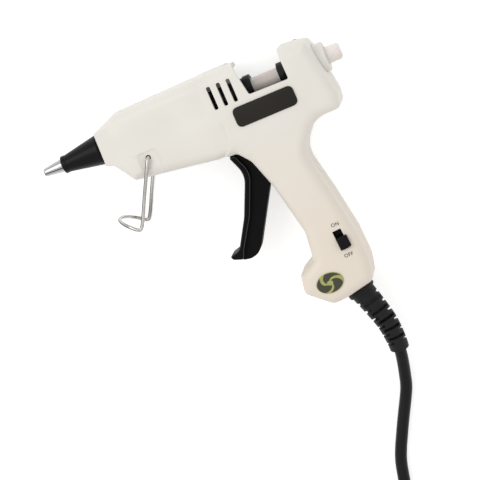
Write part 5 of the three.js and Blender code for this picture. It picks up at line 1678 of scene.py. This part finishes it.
@dataclass
class StrainRelief(Assembly):
    """The moulded strain relief: a lipped flange, a plain neck, and slots on all four sides."""

    root: float = 5.3
    end: float = 4.1
    lip: float = 6.15
    lip_length: float = 2.5
    lip_middle: float = 1.3
    lip_half: float = 1.25
    neck: float = 4.4
    keeper: float = 6.0
    neck_span: Pair = (-2.3, 0.15)
    bore: float = 2.75
    first_slot: float = 6.0
    last_slot: float = 29.0
    slots: int = 6
    slot_half: float = 0.62
    slot_reach: float = 0.55
    slot_lean: float = 0.2
    slot_turn: float = 17.0
    deepening: Pair = (9.0, 18.0)
    depths: Pair = (0.7, 1.9)
    least: float = 2.95
    slot_soft: Pair = (0.15, 0.08)
    keeper_from: float = -4.3
    neck_gaps: Pair = (0.02, 0.01)
    lip_rings: tuple[float, float, int] = (0.2, 2.6, 18)
    cone_from: float = 2.7
    cone_rings: int = 260
    bore_past: Pair = (-8.0, 3.0)
    bore_rings: int = 30

    def radius(self, s: np.ndarray, b: np.ndarray) -> np.ndarray:
        """Works out the radius at distance s past the butt and angle b.

        The cone runs from root to end. The lip stands over it as a rounded step. Smooth masks
        take the slots out: two facing sides share their places along the lead, and the two sides
        between them have theirs half a pitch on.

        Args:
            s: distances past the butt.
            b: angles round the lead, 0 on one side and pi on the other.

        Returns:
            The radius at each of them.
        """
        length = LeadRoute.relief_length
        share = np.clip((s - self.lip_length) / (length - self.lip_length), 0, 1)
        cone = self.root + (self.end - self.root) * share
        rounding = np.sqrt(np.clip(1 - ((s - self.lip_middle) / self.lip_half) ** 4, 0, 1))
        result = cone + (self.lip - cone) * rounding
        pitch = (self.last_slot - self.first_slot) / (self.slots - 1)
        lean = self.slot_lean * result * np.sin(b)
        deep = np.interp(s, self.deepening, self.depths)
        soft_along, soft_round = self.slot_soft
        for quarter in range(4):
            facing = np.cos(b - math.radians(self.slot_turn + 90 * quarter))
            first, last = self.first_slot + pitch / 2 * (quarter % 2), self.slots - quarter % 2 - 1
            nearest = np.clip(np.round((s + lean - first) / pitch), 0, last)
            away = np.abs(s - first - nearest * pitch + lean)
            groove = step(self.slot_half - away, soft_along)
            groove *= step(facing - self.slot_reach, soft_round)
            result = result - np.minimum(deep, result - self.least) * groove
        start, end = self.neck_span
        return np.where(s < start, self.keeper, np.where(s < end, self.neck, result))

    def build(self) -> None:
        """Carries the section along the lead and bores it."""
        path, inside, length = LeadRoute().line(), LeadRoute.inside, LeadRoute.relief_length
        (start, end), (low, high) = self.neck_span, self.neck_gaps
        steps = [self.keeper_from, start - low, start + low, end - high, end + high]
        cone = np.linspace(self.cone_from, length, self.cone_rings)
        s = np.concatenate([steps, np.linspace(*self.lip_rings), cone])
        solid = carried(path, inside + s, lambda d, b: self.radius(d - inside, b), around=96)
        back, ahead = self.bore_past
        span = inside + np.linspace(back, length + ahead, self.bore_rings)
        bore = carried(path, span, lambda d, b: np.full_like(d, self.bore))
        relief = combine(solid.to_object("moulded_relief"), [bore], Joining.CUT)
        self.settle(relief, RELIEF_RUBBER.make(), "dark_rubber", "strain_relief", sharp_over=40)


@dataclass
class Lead(Assembly):
    """The mains lead past its strain relief, in one curve, and the plug on its end."""

    overlap: float = 3.0
    samples: int = 20
    bridge: float = 5.5
    plug_overlap: float = 2.0
    plug_length: float = 34.0
    plug_widths: Line = (
        (0, 5.0), (1.6, 5.4), (6, 6.3), (12, 8.4), (16, 11.3), (20, 15.0), (23, 17.2),
        (25, 17.55), (34, 17.55),
    )
    plug_heights: Line = ((0, 4.9), (1.6, 5.2), (12, 6.2), (23, 6.75), (34, 6.75))
    plug_edge: float = 1.2
    plug_squareness: float = 3.6
    rib_height: float = 0.35
    rib_pitch: float = 2.6
    rib_span: Pair = (3.0, 16.0)
    rib_level: float = 0.2
    rib_soft: float = 0.5
    front_ease: float = 0.6
    rear_edge: float = 1.6
    rear_ease: float = 0.8
    rear_rings: tuple[float, ...] = (0.0, 0.25, 0.8)
    waist_rings: tuple[float, float, int] = (1.6, 22.0, 90)
    grip_rings: tuple[float, float, int] = (22.5, 31.5, 16)
    face_rings: tuple[float, ...] = (32.4, 33.2, 33.7, 33.95)
    plug_sides: int = 96

    def route(self) -> np.ndarray:
        """Returns the points of the whole lead from inside the relief's end to the plug."""
        facts = LeadRoute()
        path = facts.line()
        start = facts.inside + facts.relief_length - self.overlap
        lead = path.at(np.linspace(start, path.length, self.samples))
        spots, way = facts.coil()
        plug, plug_way = facts.plug_start()
        end = plug + plug_way * self.plug_overlap
        return np.vstack([lead, spots, spots[-1] + way * self.bridge, facts.tail()[2:], end])

    def build(self) -> None:
        route = self.route()
        curve = bpy.data.curves.new("mains_lead", "CURVE")
        curve.dimensions = "3D"
        spline = curve.splines.new("BEZIER")
        spline.bezier_points.add(len(route) - 1)
        spline.bezier_points.foreach_set("co", GUN.metres(route).ravel())
        for point in spline.bezier_points:
            point.handle_left_type = point.handle_right_type = "AUTO"
        spline.resolution_u = 6
        curve.bevel_depth = LeadRoute.radius * MILLIMETRE
        curve.bevel_resolution = 5
        curve.use_fill_caps = True
        lead = placed("mains_lead", curve)
        nodes = ("cord_lead", "cord_coil", "cord_tail")
        self.settle(lead, LEAD_SHEATH.make(), "black_plastic", *nodes)
        plug = self.plug()
        length = Path(route).length * MILLIMETRE
        LOG.info("the lead is %.3f m long", length)

    def plug(self) -> Solid:
        """Builds the plug's body.

        Its half width a and half height c follow their tables, eased in by exponentials at both
        ends. Its section is |x/a|^n + |z/c|^n = 1, and ribs across its waist help the grip.

        Returns:
            The plug's body.
        """
        start, way = LeadRoute().plug_start()
        side, up = np.array([-way[1], way[0], 0.0]), np.array([0.0, 0.0, 1.0])
        s = np.concatenate([
            self.rear_rings, np.linspace(*self.waist_rings), np.linspace(*self.grip_rings),
            self.face_rings, [self.plug_length],
        ])
        wave = step(np.cos(2 * math.pi * s / self.rib_pitch) - self.rib_level, self.rib_soft)
        ribs = self.rib_height * wave * (s > self.rib_span[0]) * (s < self.rib_span[1])
        front = self.plug_edge * (1 - np.exp(-(self.plug_length - s) / self.front_ease))
        ease = np.minimum(self.rear_edge * (1 - np.exp(-s / self.rear_ease)), front)
        a, c = (
            (np.interp(s, *zip(*table)) - self.plug_edge - ribs + ease)[:, None]
            for table in (self.plug_widths, self.plug_heights)
        )
        b, power = full_turn(self.plug_sides), 2 / self.plug_squareness
        x, z = (np.sign(part) * np.abs(part) ** power for part in (np.cos(b), np.sin(b)))
        middle = (start + s[:, None] * way)[:, None]
        body = loft(middle + (a * x)[..., None] * side + (c * z)[..., None] * up)
        piece, sheath = body.to_object("moulded_plug"), LEAD_SHEATH.make()
        return self.settle(piece, sheath, "black_plastic", "plug_body", sharp_over=45)


@dataclass
class Fixings(Assembly):
    """The six housing screws, with crossed recesses in their heads."""

    head: Line = ((0.0, 1.9), (0.12, 2.15), (0.4, 2.3), (1.4, 2.3), (1.5, 1.1))
    recess: Pair = (1.3, 0.28)
    recess_depth: float = 0.9
    turned_by: float = 30.0
    core: float = 0.96
    thread: float = 0.14
    thread_pitch: float = 0.8
    thread_from: float = 0.3
    thread_short: float = 1.2
    thread_step: float = 0.2
    recess_corner: float = 0.1
    sides: int = 40
    point: Line = ((-0.6, 0.8), (0.0, 0.25))

    def build(self) -> None:
        """Builds each screw: an eased head, a crossed recess and a shank with a fine thread."""
        zinc = ZINC.make()
        for i, (spot, low, shank) in enumerate(Housing().screw_places()):
            piece = self.screw(spot, low, shank).to_object(f"screw_{i + 1}")
            forms = [
                plate(centred((0, 0), *half, self.recess_corner), low - 1, low + self.recess_depth)
                for half in (self.recess, self.recess[::-1])
            ]
            combine(piece, [form.about(spot, self.turned_by * i) for form in forms], Joining.CUT)
            self.settle(piece, zinc, "zinc_steel", f"housing_screw_{i + 1}", sharp_over=40)

    def screw(self, spot: Pair, low: float, shank: float) -> Surface:
        """Turns one screw about its own axis along Z.

        The shank's radius is its core's plus the thread times a saw of its height.

        Args:
            spot: where its axis stands.
            low: the height of its head's face.
            shank: how long its shank is.

        Returns:
            The closed surface.
        """
        height = self.head[-1][0]
        z = np.arange(self.thread_from, shank - self.thread_short, self.thread_step)
        saw = np.abs((z / self.thread_pitch) % 1 - 0.5) * 2
        thread = np.column_stack([height + z, self.core + self.thread * saw])
        line = np.vstack([self.head, thread, np.array(self.point) + (height + shank, 0)])
        b, radius = full_turn(self.sides), line[:, 1:]
        heights = np.repeat(low + line[:, :1], len(b), axis=1)
        x, y = spot[0] + radius * np.cos(b), spot[1] + radius * np.sin(b)
        return loft(np.stack([x, y, heights], axis=-1))


@dataclass
class Inside(Assembly):
    """The parts inside the housing, which keep their own forms, and the plug's pins."""

    def build(self) -> None:
        """Gives each node its material."""
        black, steel, brass = BLACK.make(), BRIGHT.make(), BRASS.make()
        zinc, board, red = ZINC.make(), BOARD.make(), RED_SLEEVE.make()
        self.dress_nodes({
            "melt_chamber": CAST.make(), "heater_element": FIRED.make(),
            "heater_film": AMBER.make(), "electrode_upper": brass, "electrode_lower": brass,
            "chamber_mount_front": board, "chamber_mount_rear": board, "sleeve_clip": steel,
            "grip_sleeve": DARK_RUBBER.make(), "trigger_pivot_pin": zinc, "return_spring": steel,
            "switch_body": black, "switch_terminal_1": brass, "switch_terminal_2": brass,
            "cord_clamp": black, "clamp_screw_1": zinc, "clamp_screw_2": zinc,
            "cord_inner": LEAD_SHEATH.make(), "heater_wire_left": red,
            "heater_wire_right": BLUE_SLEEVE.make(), "switch_wire": red,
            "plug_pin_1": brass, "plug_pin_2": brass,
        })


# The studio


@dataclass(frozen=True)
class Studio:
    """A pale floor, soft light and a camera at the photograph's angle."""

    towards: Corner = (0.156, 0.129, 0.979)
    target: Corner = (64.9, -57.5, 0.0)
    distance: float = 1200.0
    lens: float = 214.0
    roll: float = 22.4
    sky: float = 0.83
    key_energy: float = 6.0
    glow: float = 0.6
    reflectance: float = 0.66
    key_spot: Corner = (-0.7, 0.75, 1.3)
    key_size: float = 0.9
    paper: float = 0.92
    sky_tint: Corner = (1.0, 0.995, 0.985)
    floor_size: float = 3.0
    sensor: float = 36.0
    clip: Pair = (0.05, 20.0)

    def camera(self) -> None:
        """Sets the camera up: its back axis D, its right R and its up U from the roll."""
        back = unit(np.array(self.towards))
        right0 = unit(np.array([1.0, 0, 0]) - back[0] * back)
        up0 = np.cross(back, right0)
        roll = math.radians(self.roll)
        right = math.cos(roll) * right0 - math.sin(roll) * up0
        up = math.sin(roll) * right0 + math.cos(roll) * up0
        spot = GUN.metres(np.array(self.target) + self.distance * back)
        data = bpy.data.cameras.new("camera")
        data.lens, data.sensor_width = self.lens, self.sensor
        data.clip_start, data.clip_end = self.clip
        camera = placed("camera", data)
        turn = Matrix([right, up, back]).transposed()
        camera.matrix_world = Matrix.Translation(Vector(spot.tolist())) @ turn.to_4x4()
        bpy.context.scene.camera = camera

    def floor(self) -> None:
        """Lays the floor: white to the eye, in glass and in metal, and plain to other light."""
        work = bmesh.new()
        bmesh.ops.create_grid(work, x_segments=2, y_segments=2, size=self.floor_size)
        mesh = bpy.data.meshes.new("floor")
        work.to_mesh(mesh)
        work.free()
        floor = placed("floor", mesh)
        bench = NodeBench("floor_paper")
        paper, grey = ((level,) * 3 + (1.0,) for level in (self.paper, self.reflectance))
        bench.dress(Roughness=0.9, Specular_IOR_Level=0.0, Base_Color=paper)
        seen = bench.add("ShaderNodeBsdfDiffuse", Color=grey)
        glow = bench.add("ShaderNodeEmission", Color=(1.0,) * 4, Strength=self.glow)
        both, mix = bench.add("ShaderNodeAddShader"), bench.add("ShaderNodeMixShader")
        rays = bench.add("ShaderNodeLightPath").outputs
        direct = bench.maths("MAXIMUM", rays["Is Camera Ray"], rays["Is Glossy Ray"])
        shown = bench.maths("MAXIMUM", direct, rays["Is Transmission Ray"])
        links = list(zip(both.inputs, (seen.outputs[0], glow.outputs[0])))
        links += zip(mix.inputs, (shown, bench.shader.outputs[0], both.outputs[0]))
        links.append((bench.tree.nodes["Material Output"].inputs["Surface"], mix.outputs[0]))
        for socket, value in links:
            bench.plug(socket, value)
        mesh.materials.append(bench.material)

    def lights(self) -> None:
        """Sets an even pale world and one large soft key light from the upper left."""
        world = bpy.data.worlds.new("studio")
        world.use_nodes = True
        background = world.node_tree.nodes["Background"]
        background.inputs["Color"].default_value = (*self.sky_tint, 1.0)
        background.inputs["Strength"].default_value = self.sky
        bpy.context.scene.world = world
        data = bpy.data.lights.new("key", "AREA")
        data.shape, data.size, data.energy = "SQUARE", self.key_size, self.key_energy
        lamp = placed("key", data)
        lamp.location = self.key_spot
        lamp.rotation_euler = (-Vector(self.key_spot)).to_track_quat("-Z", "Y").to_euler()

    def build(self) -> None:
        """Sets the studio up."""
        bpy.context.scene.view_settings.view_transform = "Standard"
        self.camera()
        self.floor()
        self.lights()


def main() -> None:
    """Builds every sub-assembly in order, then the studio."""
    logging.basicConfig(level=logging.INFO, format="%(message)s")
    assemblies: list[Assembly] = [
        Housing(), Plates(), Nozzle(), Feed(), Trigger(), Stand(), Switch(), StrainRelief(),
        Lead(), Fixings(), Inside(),
    ]
    for assembly in assemblies:
        LOG.info("building the %s", type(assembly).__name__)
        assembly.build()
    Studio().build()
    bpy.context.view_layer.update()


if __name__ == "__main__":
    main()
